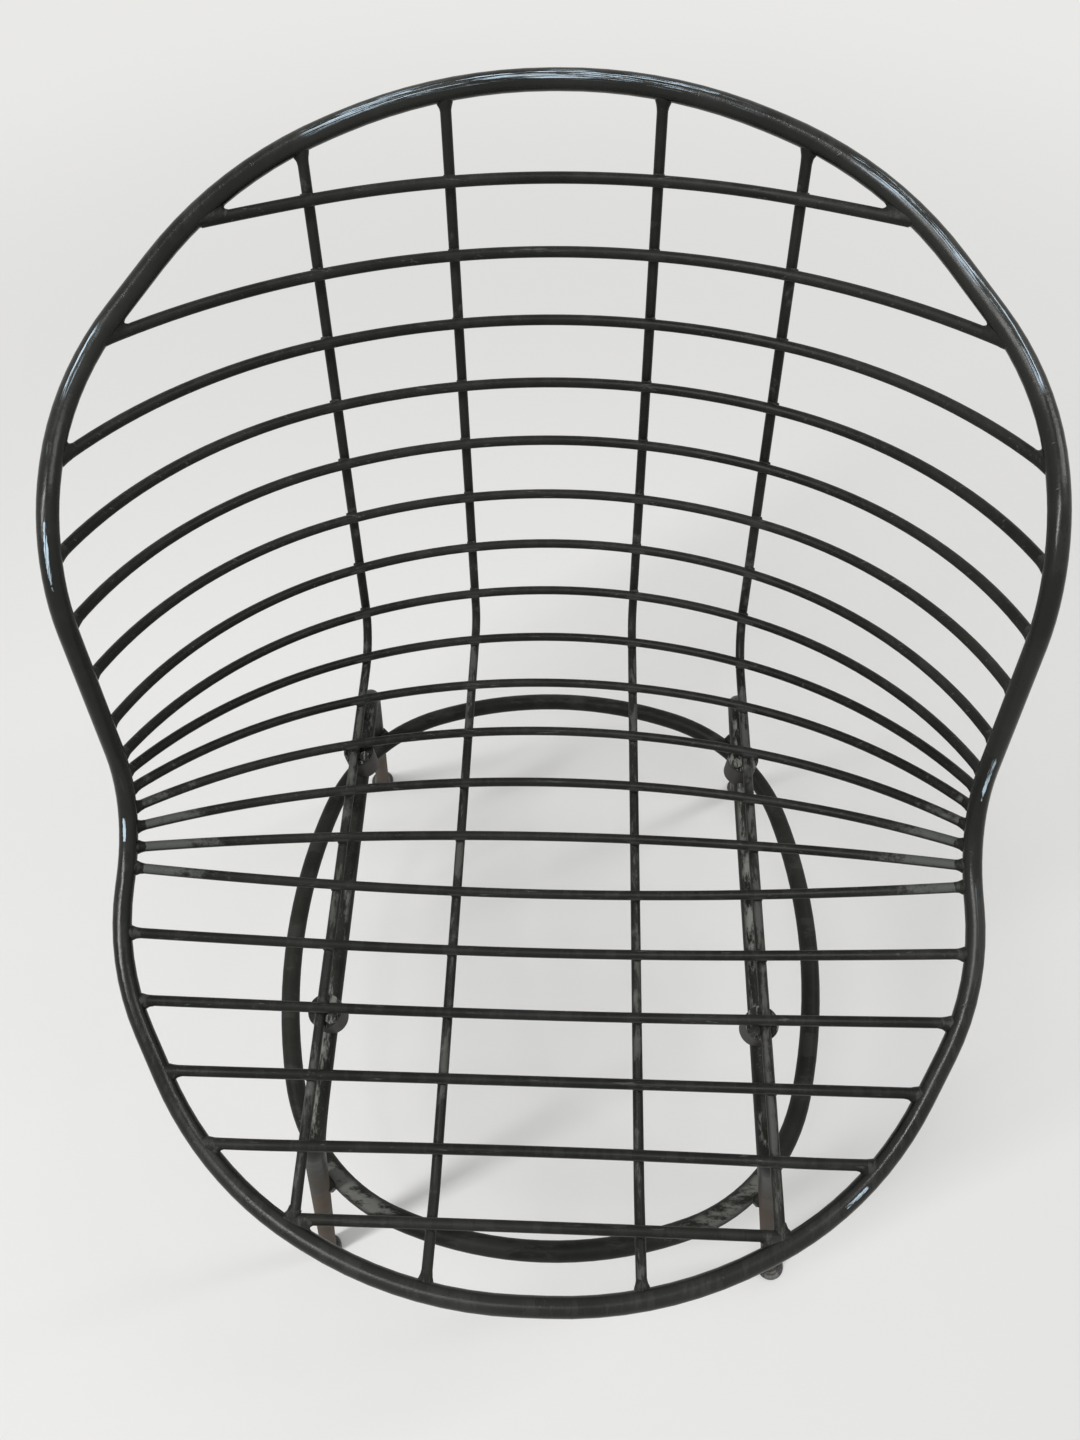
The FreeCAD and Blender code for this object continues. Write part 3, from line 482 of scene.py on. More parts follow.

# %% Lay paint, scuffs with painted highlights, and dust over each other


def paint_finish(name, dark, faded, dullness, dust, scuffs_and_highlights=None, worn=None, stain_and_reflection=None, bump=0.25,
                 shine=0.15):
    """Painted bar: old paint, stain with painted reflection, scuffs with painted highlights, wear,
    dust.
    """
    material, tree, shader = new_finish(name)
    paint = use_group(tree, paint_group, {"Colour": dark, "Faded": faded, "Roughness": dullness})
    colour = paint.outputs["Colour"]
    rough = paint.outputs["Roughness"]
    height = paint.outputs["Height"]
    if stain_and_reflection:
        # Brown tint: partly stain, partly a painted reflection of a brownish floor.
        brown_tint = stain_and_reflection(tree)
        colour = blend(tree, brown_tint, colour, STAIN_AND_REFLECTION)
        rough = plus_share(tree, rough, brown_tint, BROWN_TINT_DULLS)
    if scuffs_and_highlights:
        # Scrapes and a painted highlight share one pale colour.
        scrape_and_highlight = use_group(tree, scuff_and_highlight_group, scuffs_and_highlights).outputs["Mask"]
        colour = blend(tree, scrape_and_highlight, colour, SCRAPE_AND_HIGHLIGHT_COLOUR)
        rough = plus_share(tree, rough, scrape_and_highlight, SCRAPE_DULLS)
        height = plus_share(tree, height, scrape_and_highlight, -SCRAPE_DEPTH)
    if worn:
        rubbed = worn(tree)
        colour = blend(tree, rubbed, colour, WORN)
        rough = plus_share(tree, rough, rubbed, WEAR_DULLS)
    amounts = {label: value(tree) if callable(value) else value for label, value in dust.items()}
    settled = use_group(tree, dust_group, amounts).outputs["Mask"]
    colour = blend(tree, settled, colour, DUST)
    dusty = math_node(tree, "MULTIPLY", settled, DUST_DULLS)
    rough = math_node(tree, "ADD", rough, dusty, clamp=True)
    fill(tree, shader.inputs["Base Color"], colour)
    fill(tree, shader.inputs["Roughness"], rough)
    shader.inputs["Specular IOR Level"].default_value = shine
    relief = add(tree, "Bump", i_Strength=bump, i_Distance=COAT_RELIEF, i_Height=height)
    fill(tree, shader.inputs["Normal"], relief.outputs["Normal"])
    return material


print("finish recipe ready")

# %% [markdown]
# ### Wear beside the crossings and at the fan
#
# Hands and cloths don't reach into the corners, so grey dirt stays on the sides of each cross rod
# beside the long rods, and on the tips of the rods that run together in a fan at each arm. Both
# places are known, so a mask measures the distance to them, and a cloudy pattern breaks its edge.

# %% Measure the distance to a worn place
RAGGED_SIZED = 150.0
RAGGED_SHARE = 2.4
FULL_WITHIN, NONE_BEYOND = 0.45, 0.95


def near(tree, distance, reach):
    """1 at no distance, fading to 0 at the reach, with a broken edge."""
    cloud = math_node(tree, "SUBTRACT", noise(tree, place(tree), RAGGED_SIZED, 8.0, 0.75), 0.5)
    ragged = plus_share(tree, distance, cloud, RAGGED_SHARE * reach)
    past = ramp(tree, ragged, FULL_WITHIN * reach, NONE_BEYOND * reach)
    return math_node(tree, "SUBTRACT", 1.0, past)


def upward_part(tree):
    """How far the surface looks up, from -1 to 1."""
    normal = add(tree, "NewGeometry").outputs["Normal"]
    return add(tree, "SeparateXYZ", i_Vector=normal).outputs["Z"]


def mirrored_place(tree):
    """Place with the chair's left half folded over its right, its distance sideways, its height."""
    split = add(tree, "SeparateXYZ", i_Vector=place(tree))
    sideways = math_node(tree, "ABSOLUTE", split.outputs["X"])
    folded = add(tree, "CombineXYZ", i_X=sideways, i_Y=split.outputs["Y"], i_Z=split.outputs["Z"])
    return folded.outputs[0], sideways, split.outputs["Z"]


def beside(tree, point, reach):
    """Ragged patch round a point and its mirror image."""
    folded = mirrored_place(tree)[0]
    gap = add(tree, "VectorMath", operation="DISTANCE", i_0=folded, i_1=point)
    return near(tree, gap.outputs["Value"], reach)


print("distance helpers ready")

# %% [markdown]
# The cross rods keep dirt beside the long rods, but little of it high up on the back, which is too
# steep to hold it. Fine pale scratches run along them, from a pattern that is stretched from side
# to side. The long rods are greyed in patches.

# %% Masks for the rods
right_rods = [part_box("inner_rod_right"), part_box("outer_rod_right")]
CROSSING_LINES = [(low.x + high.x) / 2 for low, high in right_rods]
CROSSING_REACH = 0.007
SEAT_DIRT, BACK_DIRT = 0.35, 0.08
DIRT_THINS, DIRT_THIN = 0.5, 0.62
FAN_MIDDLE = (0.25, -0.056, 0.482)
FAN_REACH = 0.05
ALONG_CROSS_ROD = (26, 420, 420)
SCRATCHES, TIPS, GREYS = 0.55, 0.8, 0.6


def worn_cross_rod(tree):
    """On the sides beside the long rods, and towards the tips in the fan."""
    sideways, high = mirrored_place(tree)[1:]
    marks = []
    for line in CROSSING_LINES:
        offset = math_node(tree, "ABSOLUTE", math_node(tree, "SUBTRACT", sideways, line))
        marks.append(near(tree, offset, CROSSING_REACH))
    crossing = math_node(tree, "MAXIMUM", marks[0], marks[1])
    low_side = math_node(tree, "SUBTRACT", 1.0, ramp(tree, upward_part(tree), 0.35, 0.8))
    thinned = math_node(tree, "SUBTRACT", SEAT_DIRT, ramp(tree, high, DIRT_THINS, DIRT_THIN))
    dirt = math_node(tree, "MULTIPLY", low_side, math_node(tree, "MAXIMUM", thinned, BACK_DIRT))
    crossing = math_node(tree, "MULTIPLY", crossing, dirt)
    stretched = add(tree, "Mapping", i_Vector=place(tree), i_Scale=ALONG_CROSS_ROD).outputs[0]
    scratches = ramp(tree, noise(tree, stretched, 1.0, 6.0, 0.7), 0.6, 0.68)
    scratches = math_node(tree, "MULTIPLY", scratches, SCRATCHES)
    tips = math_node(tree, "MULTIPLY", beside(tree, FAN_MIDDLE, FAN_REACH),
                     ramp(tree, upward_part(tree), 0.1, 0.6))
    tips = math_node(tree, "MULTIPLY", tips, TIPS)
    worn = math_node(tree, "MAXIMUM", crossing, tips)
    return math_node(tree, "MAXIMUM", worn, scratches)


def worn_long_rod(tree):
    """Greyed patches of about the crossings' spacing."""
    cloud = ramp(tree, noise(tree, place(tree), 48.0, 5.0, 0.65), 0.56, 0.7)
    return math_node(tree, "MULTIPLY", cloud, GREYS)


print("long rods run at", [round(line, 4) for line in CROSSING_LINES])

# %% [markdown]
# Nobody wipes the base, so its runners carry thick dust up to their rear bends, and so does the
# ring beside the front legs. The lower legs get a brownish tint, partly a stain and partly a
# painted reflection of a brownish floor in their sheen.

# %% Masks for the base
RUNNER_UNDERSIDE, RUNNER_TOP = 0.37, 0.4
BEND_START, BEND_END = 0.1, 0.15
RING_CORNER = (0.15, -0.26, 0.262)
RING_REACH = 0.08
THICK_DUST, THIN_DUST, CORNER_SHARE = 0.8, 0.06, 0.6
BROWN_TINT_THINS, BROWN_TINT_ENDS = 0.2, 0.31
FRONT_HIGHER = 0.25


def dusty_base(tree):
    """Thick dust on the runners up to their rear bends and on the ring beside the front legs."""
    split = add(tree, "SeparateXYZ", i_Vector=place(tree))
    runner = ramp(tree, split.outputs["Z"], RUNNER_UNDERSIDE, RUNNER_TOP)
    in_bend = ramp(tree, split.outputs["Y"], BEND_START, BEND_END)
    runner = math_node(tree, "MULTIPLY", runner, math_node(tree, "SUBTRACT", 1.0, in_bend))
    corners = math_node(tree, "MULTIPLY", beside(tree, RING_CORNER, RING_REACH), CORNER_SHARE)
    most = math_node(tree, "MULTIPLY", math_node(tree, "MAXIMUM", runner, corners), THICK_DUST)
    return math_node(tree, "ADD", most, THIN_DUST)


def leg_stain_and_reflection(tree):
    """Brown tint on the lower legs, higher on the front legs: stain and a painted floor reflection.
    """
    split = add(tree, "SeparateXYZ", i_Vector=place(tree))
    tint_height = plus_share(tree, split.outputs["Z"], split.outputs["Y"], FRONT_HIGHER)
    low = math_node(tree, "SUBTRACT", 1.0, ramp(tree, tint_height, BROWN_TINT_THINS, BROWN_TINT_ENDS))
    cloud = ramp(tree, noise(tree, place(tree), 30.0, 5.0, 0.6), 0.25, 0.55)
    return math_node(tree, "MULTIPLY", low, cloud)


print("thick dust starts at height", RUNNER_UNDERSIDE, "and the film ends near", BROWN_TINT_ENDS)

# %% Paint the bars
RIM_DARK, RIM_FADED = (0.008, 0.0083, 0.0068, 1), (0.019, 0.0195, 0.0165, 1)
ROD_DARK, ROD_FADED = (0.0085, 0.0088, 0.0072, 1), (0.02, 0.0205, 0.0175, 1)
BASE_DARK, BASE_FADED = (0.0105, 0.0106, 0.0088, 1), (0.026, 0.0263, 0.0225, 1)

# The rim's pale streaks are partly scrapes and partly a painted highlight.
rim_finish = paint_finish(
    "rim_old_paint", RIM_DARK, RIM_FADED, 0.2,
    {"Amount": 0.04, "Patch Scale": 60.0, "Steepest": 0.5},
    scuffs_and_highlights={"Amount": 1.0, "Length Scale": 4.5, "Rubbed Side": 0.87}, shine=0.24)
cross_rod_finish = paint_finish(
    "cross_rod_old_paint", ROD_DARK, ROD_FADED, 0.38,
    {"Amount": 0.03, "Patch Scale": 55.0, "Steepest": 0.3}, worn=worn_cross_rod)
long_rod_finish = paint_finish(
    "long_rod_old_paint", ROD_DARK, ROD_FADED, 0.38,
    {"Amount": 0.25, "Patch Scale": 50.0, "Steepest": 0.3}, worn=worn_long_rod)
ring_finish = paint_finish(
    "ring_old_paint", BASE_DARK, BASE_FADED, 0.4,
    {"Amount": dusty_base, "Patch Scale": 33.0, "Steepest": 0.35,
     "Sideways": 0.3, "Lengthways": 1.0}, shine=0.1)
# The legs' brown tint is partly stain and partly a painted floor reflection.
leg_finish = paint_finish(
    "leg_old_paint", BASE_DARK, BASE_FADED, 0.4,
    {"Amount": dusty_base, "Patch Scale": 28.0, "Steepest": 0.35}, stain_and_reflection=leg_stain_and_reflection, shine=0.1)
plate_finish = paint_finish(
    "plate_dusty_paint", BASE_DARK, BASE_FADED, 0.5,
    {"Amount": 0.9, "Patch Scale": 170.0, "Steepest": 0.3}, bump=0.8)
bolt_finish = paint_finish(
    "bolt_dusty_paint", BASE_DARK, BASE_FADED, 0.42,
    {"Amount": 0.7, "Patch Scale": 160.0, "Steepest": 0.4}, bump=0.5)
weld_finish = paint_finish(
    "weld_old_paint", ROD_DARK, ROD_FADED, 0.4,
    {"Amount": 0.14, "Patch Scale": 140.0, "Steepest": 0.1}, bump=0.6)
print("painted finishes:", rim_finish.name, cross_rod_finish.name, leg_finish.name)

# %% [markdown]
# ### Rubber spacers and plastic glides
#
# The spacers under the plates are brown-black rubber, matt, with a fine pitted skin. The glides
# are moulded plastic cups, scratched grey where they drag on the floor. Neither has any paint, so
# each gets its own mix of the same cloudy patterns.

# %% Mix the rubber and the plastic
SCRATCHED = (0.16, 0.155, 0.14, 1)
SCRATCHES_THIN, SCRATCHES_END = 0.001, 0.005
GRAIN_RELIEF = 0.0002


def moulded_finish(name, dark, pale, dullness, grain, low_scratches=0.0):
    """Moulded black piece with a fine grain, and scratches near the floor."""
    material, tree, shader = new_finish(name)
    spot = place(tree)
    cloudy = ramp(tree, noise(tree, spot, 85.0, 5.0), 0.4, 0.7)
    colour = blend(tree, cloudy, dark, pale)
    height_over_floor = add(tree, "SeparateXYZ", i_Vector=spot).outputs["Z"]
    risen = ramp(tree, height_over_floor, SCRATCHES_THIN, SCRATCHES_END)
    low = math_node(tree, "SUBTRACT", 1.0, risen)
    fine = ramp(tree, noise(tree, spot, 700.0, 4.0, 0.7), 0.5, 0.62)
    scratched = math_node(tree, "MULTIPLY", math_node(tree, "MULTIPLY", low, fine), low_scratches)
    colour = blend(tree, scratched, colour, SCRATCHED)
    settled = use_group(tree, dust_group, {"Amount": 0.5, "Patch Scale": 120.0, "Steepest": 0.4})
    colour = blend(tree, settled.outputs["Mask"], colour, DUST)
    fill(tree, shader.inputs["Base Color"], colour)
    fill(tree, shader.inputs["Roughness"], plus_share(tree, dullness, cloudy, 0.15))
    grains = noise(tree, spot, grain, 3.0)
    relief = add(tree, "Bump", i_Strength=0.4, i_Distance=GRAIN_RELIEF, i_Height=grains)
    fill(tree, shader.inputs["Normal"], relief.outputs["Normal"])
    return material


rubber_finish = moulded_finish(
    "spacer_black_rubber", (0.014, 0.011, 0.009, 1), (0.03, 0.025, 0.021, 1), 0.62, 900.0)
plastic_finish = moulded_finish(
    "glide_black_plastic", (0.012, 0.012, 0.012, 1), (0.026, 0.026, 0.025, 1), 0.4, 500.0, 0.8)
print("moulded finishes:", rubber_finish.name, plastic_finish.name)

# %% [markdown]
# ## Finish the CAD pieces
#
# The record names a material slot for every node, so the finishes are handed out by slot. Two kinds
# of piece differ from the others of their slot: dirt gathers elsewhere on the long rods than on the
# cross rods, and only the legs, not the ring, have a brown tint near the floor, partly stain and
# partly a painted floor reflection.

# %% Hand out the finishes
finish_of_slot = {
    "rim_paint": rim_finish,
    "rod_paint": cross_rod_finish,
    "base_paint": ring_finish,
    "plate_paint": plate_finish,
    "spacer_rubber": rubber_finish,
    "glide_plastic": plastic_finish,
    "bolt_steel": bolt_finish,
}
for name, bar in bars.items():
    finish = finish_of_slot[slot_of[name]]
    if name.startswith(("inner_rod", "outer_rod")):
        finish = long_rod_finish
    if name.startswith("leg_frame"):
        finish = leg_finish
    bar.data.materials.clear()
    bar.data.materials.append(finish)
print("finished", len(bars), "CAD pieces")

# %% [markdown]
# ## Where the welds go
#
# A weld sits where two bars meet, so the bars are measured. A bar is cut in thought by a plane,
# and the middle of the outline it leaves is the middle of the bar there. The nearest point of the
# other bar then gives the side on which the weld lies.

# %% Search a bar's skin for its nearest point
from mathutils.bvhtree import BVHTree

skins = {}


def skin(name):
    """Search tree over a CAD piece's faces."""
    if name not in skins:
        mesh = bars[name].data
        corners = [vertex.co.copy() for vertex in mesh.vertices]
        faces = [tuple(face.vertices) for face in mesh.polygons]
        skins[name] = BVHTree.FromPolygons(corners, faces)
    return skins[name]


def nearest(name, point):
    """Nearest point of a CAD piece's skin."""
    return skin(name).find_nearest(point)[0]


ring_low, ring_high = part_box("base_ring")
ring_height = (ring_low.z + ring_high.z) / 2
ring_middle = Vector((0, 0, ring_height))
ring_gap = (nearest("base_ring", ring_middle) - ring_middle).length
print("the ring leaves", round(ring_gap, 3), "m free round the chair's middle")

# %% Measure a bar by slicing it
import numpy as np

edge_ends = {}


def edges_of(name):
    """Both ends of every edge of a CAD piece, as two tables of points."""
    if name not in edge_ends:
        mesh = bars[name].data
        points = np.zeros(3 * len(mesh.vertices), np.float32)
        mesh.vertices.foreach_get("co", points)
        pairs = np.zeros(2 * len(mesh.edges), np.int32)
        mesh.edges.foreach_get("vertices", pairs)
        points, pairs = points.reshape(-1, 3).astype(float), pairs.reshape(-1, 2)
        edge_ends[name] = points[pairs[:, 0]], points[pairs[:, 1]]
    return edge_ends[name]


def bar_middle(name, point, direction, reach=0.012):
    """Middle of a bar where the plane through a point, across a direction, cuts it near there."""
    first, second = edges_of(name)
    before, after = (first - point) @ direction, (second - point) @ direction
    crossed = before * after < 0
    share = (before / np.where(crossed, before - after, 1))[crossed, None]
    hits = first[crossed] * (1 - share) + second[crossed] * share
    hits = hits[np.linalg.norm(hits - point, axis=1) < reach]
    if not len(hits):
        raise ValueError("no bar found on " + name)
    return Vector((hits.min(0) + hits.max(0)) / 2)


print("a plane can cut any of the", len(edges_of("rim")[0]), "edges of the rim")

# %% Trace the rim's middle line
RIM_TURNS = 180
ROUGH_RADIUS = 0.28
ROUGH_HEIGHT = Vector((0, 0, 0.58))
ROUGH_REACH = 0.25

rim_line = []
for turn in range(RIM_TURNS):
    heading = 2 * math.pi * turn / RIM_TURNS
    ahead = Vector((math.cos(heading), math.sin(heading), 0))
    across = Vector((-ahead.y, ahead.x, 0))
    start = ahead * ROUGH_RADIUS + ROUGH_HEIGHT
    rim_line.append(bar_middle("rim", start, across, ROUGH_REACH))
heights = [point.z for point in rim_line]
print("the rim's middle line runs from", round(min(heights), 4), "to", round(max(heights), 4))

# %% [markdown]
# ## Welds at the ends of the rods
#
# Each rod ends on the rim in a weld that flares like a small skirt, wider along the rim than
# across it. A ready-made cone would meet the rod with a hard corner. Here a circle the size of the
# rod is pulled down in steps and widened a little more each time, which gives the hollow curve of
# a filled corner. One skirt is modelled, and every copy is then fitted between its rod and the rim.

# %% Pull rings into a round shape


def finish_shape(thing):
    """Close, turn outwards, smooth with a subdivision, and shade smooth."""
    bpy.ops.object.mode_set(mode="EDIT")
    bpy.ops.mesh.select_all(action="SELECT")
    bpy.ops.mesh.remove_doubles(threshold=1e-6)
    bpy.ops.mesh.normals_make_consistent(inside=False)
    bpy.ops.object.mode_set(mode="OBJECT")
    rounder = thing.modifiers.new("rounder", "SUBSURF")
    rounder.levels = 1
    bpy.ops.object.modifier_apply(modifier=rounder.name)
    bpy.ops.object.shade_smooth()


def pull_rings(name, rings, sides=14):
    """Pull a circle down in steps; each ring is (height, width along X, width along Y)."""
    start_fresh()
    height, along, across = rings[0]
    bpy.ops.mesh.primitive_circle_add(
        vertices=sides, radius=1, fill_type="NGON", location=(0, 0, height))
    thing = bpy.context.object
    thing.name = name
    bpy.ops.object.transform_apply(location=True)
    bpy.ops.object.mode_set(mode="EDIT")
    bpy.ops.mesh.select_all(action="SELECT")
    bpy.ops.transform.resize(value=(along, across, 1), center_override=(0, 0, height))
    for lower, wide, deep in rings[1:]:
        bpy.ops.mesh.extrude_region_move(TRANSFORM_OT_translate={"value": (0, 0, lower - height)})
        scale = (wide / along, deep / across, 1)
        bpy.ops.transform.resize(value=scale, center_override=(0, 0, lower))
        height, along, across = lower, wide, deep
    bpy.ops.object.mode_set(mode="OBJECT")
    return thing


print("ring helpers ready")

# %% Model one skirt
ROD_RADIUS = 0.00318
SKIRT_TOP = 0.0056

profile = [(SKIRT_TOP, 1.02, 1.02), (0.004, 1.04, 1.03), (0.0025, 1.12, 1.09), (0.0012, 1.3, 1.2),
           (0.0002, 1.52, 1.34), (-0.0022, 1.62, 1.38), (-0.0045, 1.55, 1.3)]
skirt_rings = [(height, ROD_RADIUS * wide, ROD_RADIUS * deep) for height, wide, deep in profile]
skirt = pull_rings("end_weld_model", skirt_rings)
finish_shape(skirt)
print("one skirt has", len(skirt.data.polygons), "faces")

# %% Copy a weld and bend the copy
lumps = bpy.data.textures.new("weld_lumps", "CLOUDS")
lumps.noise_scale = 0.004
weld_names = []


def fit_copy(model, name, shape, unevenness):
    """Copy a weld with a mesh of its own, move every corner by a rule, and make it lumpy."""
    start_fresh()
    copy = bpy.data.objects.new(name, model.data.copy())
    bpy.context.scene.collection.objects.link(copy)
    for vertex in copy.data.vertices:
        vertex.co = shape(vertex.co)
    copy.select_set(True)
    bpy.context.view_layer.objects.active = copy
    uneven = copy.modifiers.new("uneven", "DISPLACE")
    uneven.texture = lumps
    uneven.texture_coords = "LOCAL"
    uneven.strength = unevenness
    bpy.ops.object.modifier_apply(modifier=uneven.name)
    copy.data.materials.clear()
    copy.data.materials.append(weld_finish)
    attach(copy, "root")
    weld_names.append(name)
    return copy


print("lumps are", round(1000 * lumps.noise_scale), "mm wide")

# %% Find the ends of the rods
ON_THE_RIM = 0.0022
SAME_END = 0.015
PAST_THE_MITRE = 0.01
NEXT_SECTION = 0.012
SECTION_DEPTH = 0.006
CLEAR_OF_RIM = 0.009


def rod_ends(name):
    """Middle of each end of a rod on the rim, and the way the rod leaves it."""
    mesh = bars[name].data
    groups = []
    for vertex in mesh.vertices:
        if (nearest("rim", vertex.co) - vertex.co).length > ON_THE_RIM:
            continue
        for group in groups:
            if (group[0] - vertex.co).length < SAME_END:
                group.append(vertex.co)
                break
        else:
            groups.append([vertex.co])
    found = []
    for group in groups:
        low = Vector([min(co[axis] for co in group) for axis in range(3)])
        high = Vector([max(co[axis] for co in group) for axis in range(3)])
        end = (low + high) / 2
        others = sorted((vertex.co - end).length for vertex in mesh.vertices)
        limit = next(length for length in others if length > NEXT_SECTION) + SECTION_DEPTH
        ring = [v.co for v in mesh.vertices if PAST_THE_MITRE < (v.co - end).length < limit]
        away = (sum(ring, Vector()) / len(ring) - end).normalized()
        middle = bar_middle(name, end + away * CLEAR_OF_RIM, away)
        found.append((middle, (middle - end).normalized()))
    return found


cross_rods = sorted(name for name in bars if name.startswith("cross_rod"))
long_rods = sorted(name for name in bars if name.startswith(("inner_rod", "outer_rod")))
ends_of = {name: rod_ends(name) for name in cross_rods + long_rods}
print(sum(len(ends) for ends in ends_of.values()), "rod ends at the rim")

# %% Fit a skirt at every end
START_ABOVE = 0.02
TALLER = 0.7
WIDER, NARROWER = 0.2, -0.22
SKIRT_LUMPS = 0.0005


def rim_direction(point):
    """Direction of the rim's middle line nearest a point."""
    index = min(range(RIM_TURNS), key=lambda turn: (rim_line[turn] - point).length)
    return (rim_line[(index + 1) % RIM_TURNS] - rim_line[index - 1]).normalized()


def fit_skirt(name, inside, away):
    """Fit a skirt on a rod that leaves the rim; each corner of its foot drops to the rim."""
    foot = skin("rim").ray_cast(inside, -away)[0]
    along_rim = rim_direction(foot)
    sideways = (along_rim - away * along_rim.dot(away)).normalized()
    across = away.cross(sideways)
    lean = along_rim.dot(away) / along_rim.dot(sideways)
    taller = 1 + TALLER * abs(lean)

    def shape(corner):
        follow = min(max(1 - corner.z / SKIRT_TOP, 0), 1)
        wider = 1 + (WIDER if corner.x * lean > 0 else NARROWER) * abs(lean) * follow
        offset = sideways * corner.x * wider + across * corner.y
        below = skin("rim").ray_cast(inside + offset + away * START_ABOVE, -away)[0]
        drop = (below - foot).dot(away) if below else corner.x * lean
        return foot + offset + away * (corner.z * taller + drop * follow)

    return fit_copy(skirt, name, shape, SKIRT_LUMPS)


for name, ends in ends_of.items():
    for letter, (inside, away) in zip("ab", ends):
        fit_skirt("end_weld_%s_%s" % (name, letter), inside, away)
print(len(weld_names), "end welds")

# %% [markdown]
# ## Welds where rods cross
#
# The cross rods lie on the long rods and are welded to them by a drop of metal squeezed out
# between the two. Only its four corners show, one in each angle of the crossing. A cube is
# flattened and rounded, and its sides are pulled in so that the corners stand out. The same shape,
# larger, joins the base ring to the legs, since that is also one bar laid across another.

# %% Model one crossing weld
NOT_A_CORNER = 1.5
PULLED_IN = (0.8, 0.8, 1)
FLATTENED = (1.2, 1.2, 0.58)

start_fresh()
bpy.ops.mesh.primitive_cube_add(size=2)
drop = bpy.context.object
drop.name = "crossing_weld_model"
bpy.ops.object.mode_set(mode="EDIT")
bpy.ops.mesh.select_all(action="SELECT")
bpy.ops.mesh.subdivide(number_cuts=1)
bpy.ops.mesh.select_all(action="DESELECT")
bpy.ops.object.mode_set(mode="OBJECT")
for vertex in drop.data.vertices:
    vertex.select = abs(vertex.co.x) + abs(vertex.co.y) < NOT_A_CORNER
for edge in drop.data.edges:
    edge.select = all(drop.data.vertices[index].select for index in edge.vertices)
bpy.ops.object.mode_set(mode="EDIT")
bpy.ops.transform.resize(value=PULLED_IN, center_override=(0, 0, 0))
bpy.ops.mesh.select_all(action="SELECT")
bpy.ops.transform.resize(value=FLATTENED, center_override=(0, 0, 0))
bpy.ops.object.mode_set(mode="OBJECT")
finish_shape(drop)
sides = [round(side, 2) for side in drop.dimensions]
print("one drop has", len(drop.data.polygons), "faces and measures", sides, "before it is fitted")

# %% Fit the drops between the rods
X_AXIS = Vector((1, 0, 0))
WHOLE_ROD = 1
SHORT_WAY = 0.003
CLOSE_ENOUGH = 1.5 * ROD_RADIUS
DROP_LUMPS = 0.13


def fit_drop(name, touch, along, up, radius, spread=1.0, thick=1.0):
    """Fit a drop at the touching point of two crossing bars of about this radius."""
    across = up.cross(along)

    def shape(corner):
        flat = (along * corner.x + across * corner.y) * spread
        return touch + (flat + up * corner.z * thick) * radius

    return fit_copy(drop, name, shape, DROP_LUMPS * radius)


crossing_count = 0
for name in cross_rods:
    for long_rod in long_rods:
        low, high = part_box(long_rod)
        start = Vector(((low.x + high.x) / 2, 0, 0))
        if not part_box(name)[0].x < start.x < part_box(name)[1].x:
            continue
        middle = bar_middle(name, start, X_AXIS, WHOLE_ROD)
        further = bar_middle(name, start + X_AXIS * SHORT_WAY, X_AXIS, WHOLE_ROD)
        down = nearest(long_rod, middle) - middle
        if down.length > CLOSE_ENOUGH:
            continue
        crossing_count += 1
        along = (further - middle).normalized()
        touch = middle + down.normalized() * (ROD_RADIUS + down.length) / 2
        up = -(down - along * down.dot(along)).normalized()
        number = "%s_%s" % (name[-2:], long_rod.replace("_rod", ""))
        fit_drop("crossing_weld_" + number, touch, along, up, ROD_RADIUS)
print(crossing_count, "crossing welds")

# %% Fit the large drops between the ring and the legs
LEG_RADIUS = 0.00715
LEG_SIDEWAYS = 0.17
LEG_LENGTHWAYS = {"front": -0.25, "rear": 0.17}
LEG_REACH = 0.09
Z_AXIS = Vector((0, 0, 1))
SPREAD, THICKNESS = 1.02, 1.2

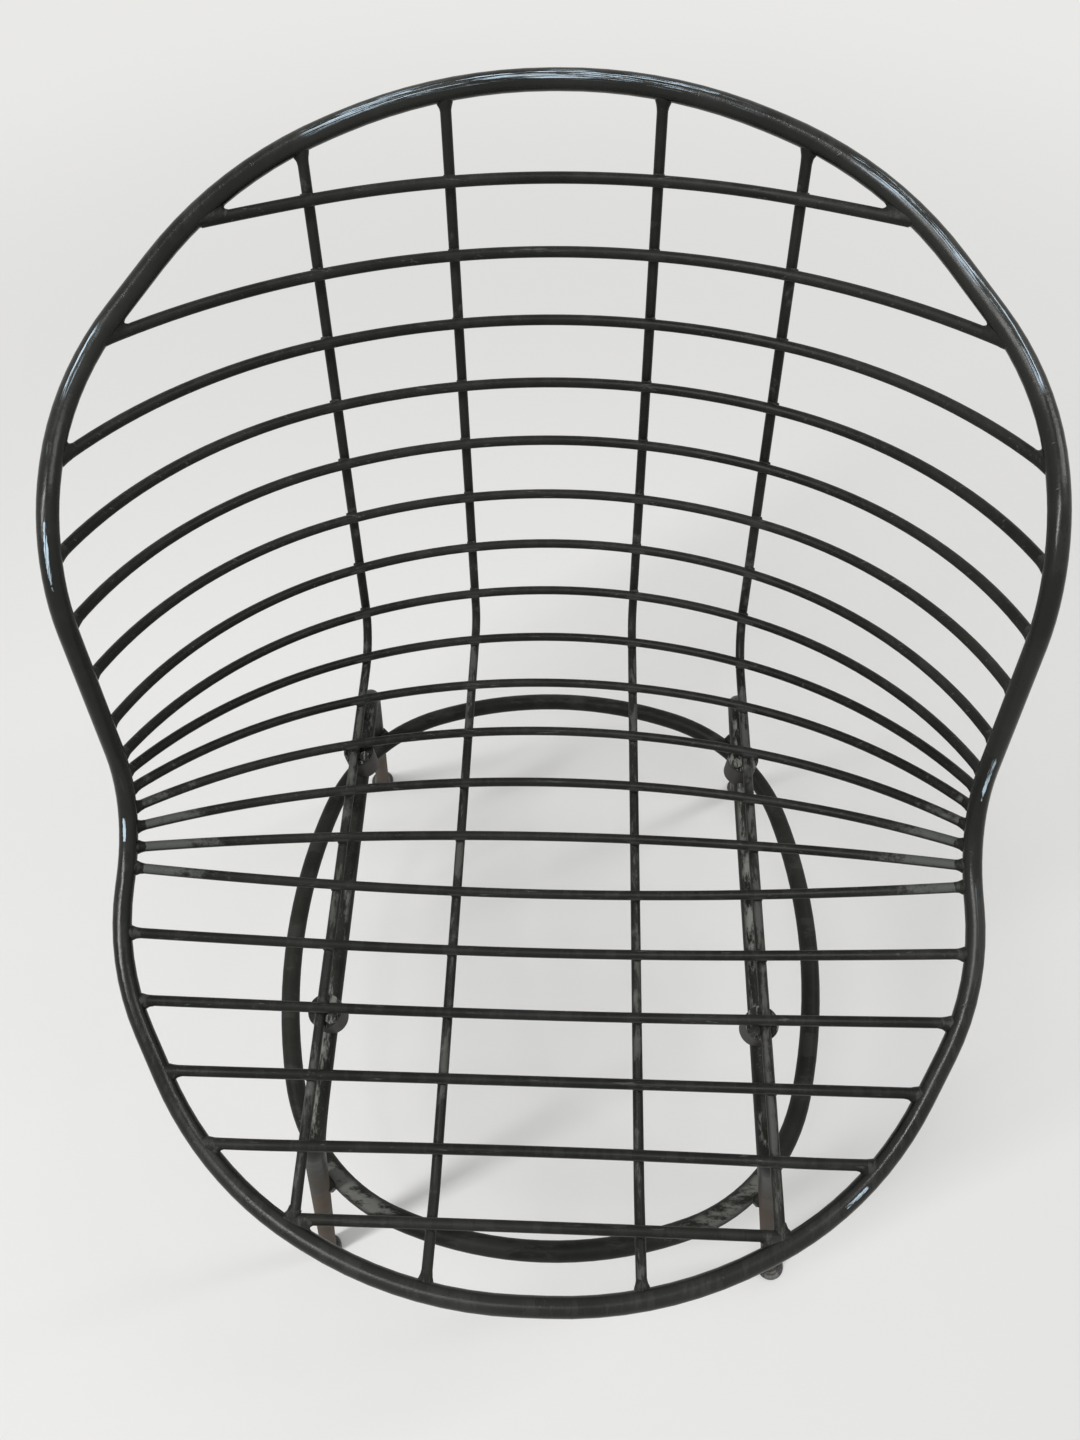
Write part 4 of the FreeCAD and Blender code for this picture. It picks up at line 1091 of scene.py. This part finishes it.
for frame_name in ("leg_frame_left", "leg_frame_right"):
    side = -1 if frame_name.endswith("left") else 1
    for end, lengthways in LEG_LENGTHWAYS.items():
        guess = Vector((side * LEG_SIDEWAYS, lengthways, ring_height))
        leg = bar_middle(frame_name, guess, Z_AXIS, LEG_REACH)
        toward = (nearest("base_ring", leg) - leg).normalized()
        along = Vector((-toward.y, toward.x, 0)).normalized()
        touch = leg + toward * LEG_RADIUS
        weld_name = "ring_weld_%s_%s" % (end, frame_name[10:])
        weld = fit_drop(weld_name, touch, along, toward, LEG_RADIUS, SPREAD, THICKNESS)
print("ring welds at height", round(ring_height, 4))

# %% [markdown]
# ## Beads on the plates
#
# Each round plate is welded under an outer long rod by a bead along each side of the rod. A bead is
# laid in small overlapping pools, so it looks like a row of coins. Its rings are pulled along in
# steps that swell and shrink. The inner bead is short, because the bolt's head stands beside it.

# %% Model and fit the beads
BEAD_SIDES = 10
BEAD_RADIUS = 0.0014
BEAD_LUMPS = 0.0004
BESIDE_ROD = 0.0026
ABOVE_PLATE = 0.0006
BEHIND_BOLT = 0.0055
OUTER_LENGTH, INNER_LENGTH = 0.019, 0.008

pools = [(0.5, 0.3), (0.46, 0.75), (0.36, 1.02), (0.27, 0.86), (0.18, 1.04), (0.09, 0.86),
         (0.0, 1.03), (-0.09, 0.86), (-0.18, 1.02), (-0.27, 0.85), (-0.36, 1.03), (-0.46, 0.75),
         (-0.5, 0.3)]
bead_rings = [(place_along, width, width) for place_along, width in pools]
bead = pull_rings("bead_model", bead_rings, BEAD_SIDES)
finish_shape(bead)


def fit_bead(name, middle, length):
    """Fit a bead along Y, of a length, about a point."""

    def shape(corner):
        offset = Vector((corner.x * BEAD_RADIUS, corner.z * length, -corner.y * BEAD_RADIUS))
        return middle + offset

    return fit_copy(bead, name, shape, BEAD_LUMPS)


for name in sorted(name for name in bars if name.startswith("plate_")):
    low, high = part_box(name)
    side = 1 if low.x > 0 else -1
    rod_x = side * CROSSING_LINES[1]
    middle_y = (low.y + high.y) / 2
    height = high.z + ABOVE_PLATE
    outer = Vector((rod_x + side * BESIDE_ROD, middle_y, height))
    inner = Vector((rod_x - side * BESIDE_ROD, middle_y + BEHIND_BOLT, height))
    weld = fit_bead("bead_outer_" + name, outer, OUTER_LENGTH)
    weld = fit_bead("bead_inner_" + name, inner, INNER_LENGTH)
for model in (skirt, drop, bead):
    bpy.data.objects.remove(model)
print(len(weld_names), "welds in all")

# %% [markdown]
# ## Update the scene
#
# The chair must stay as large as its CAD model.

# %% Update the view layer
import json

bpy.context.view_layer.update()
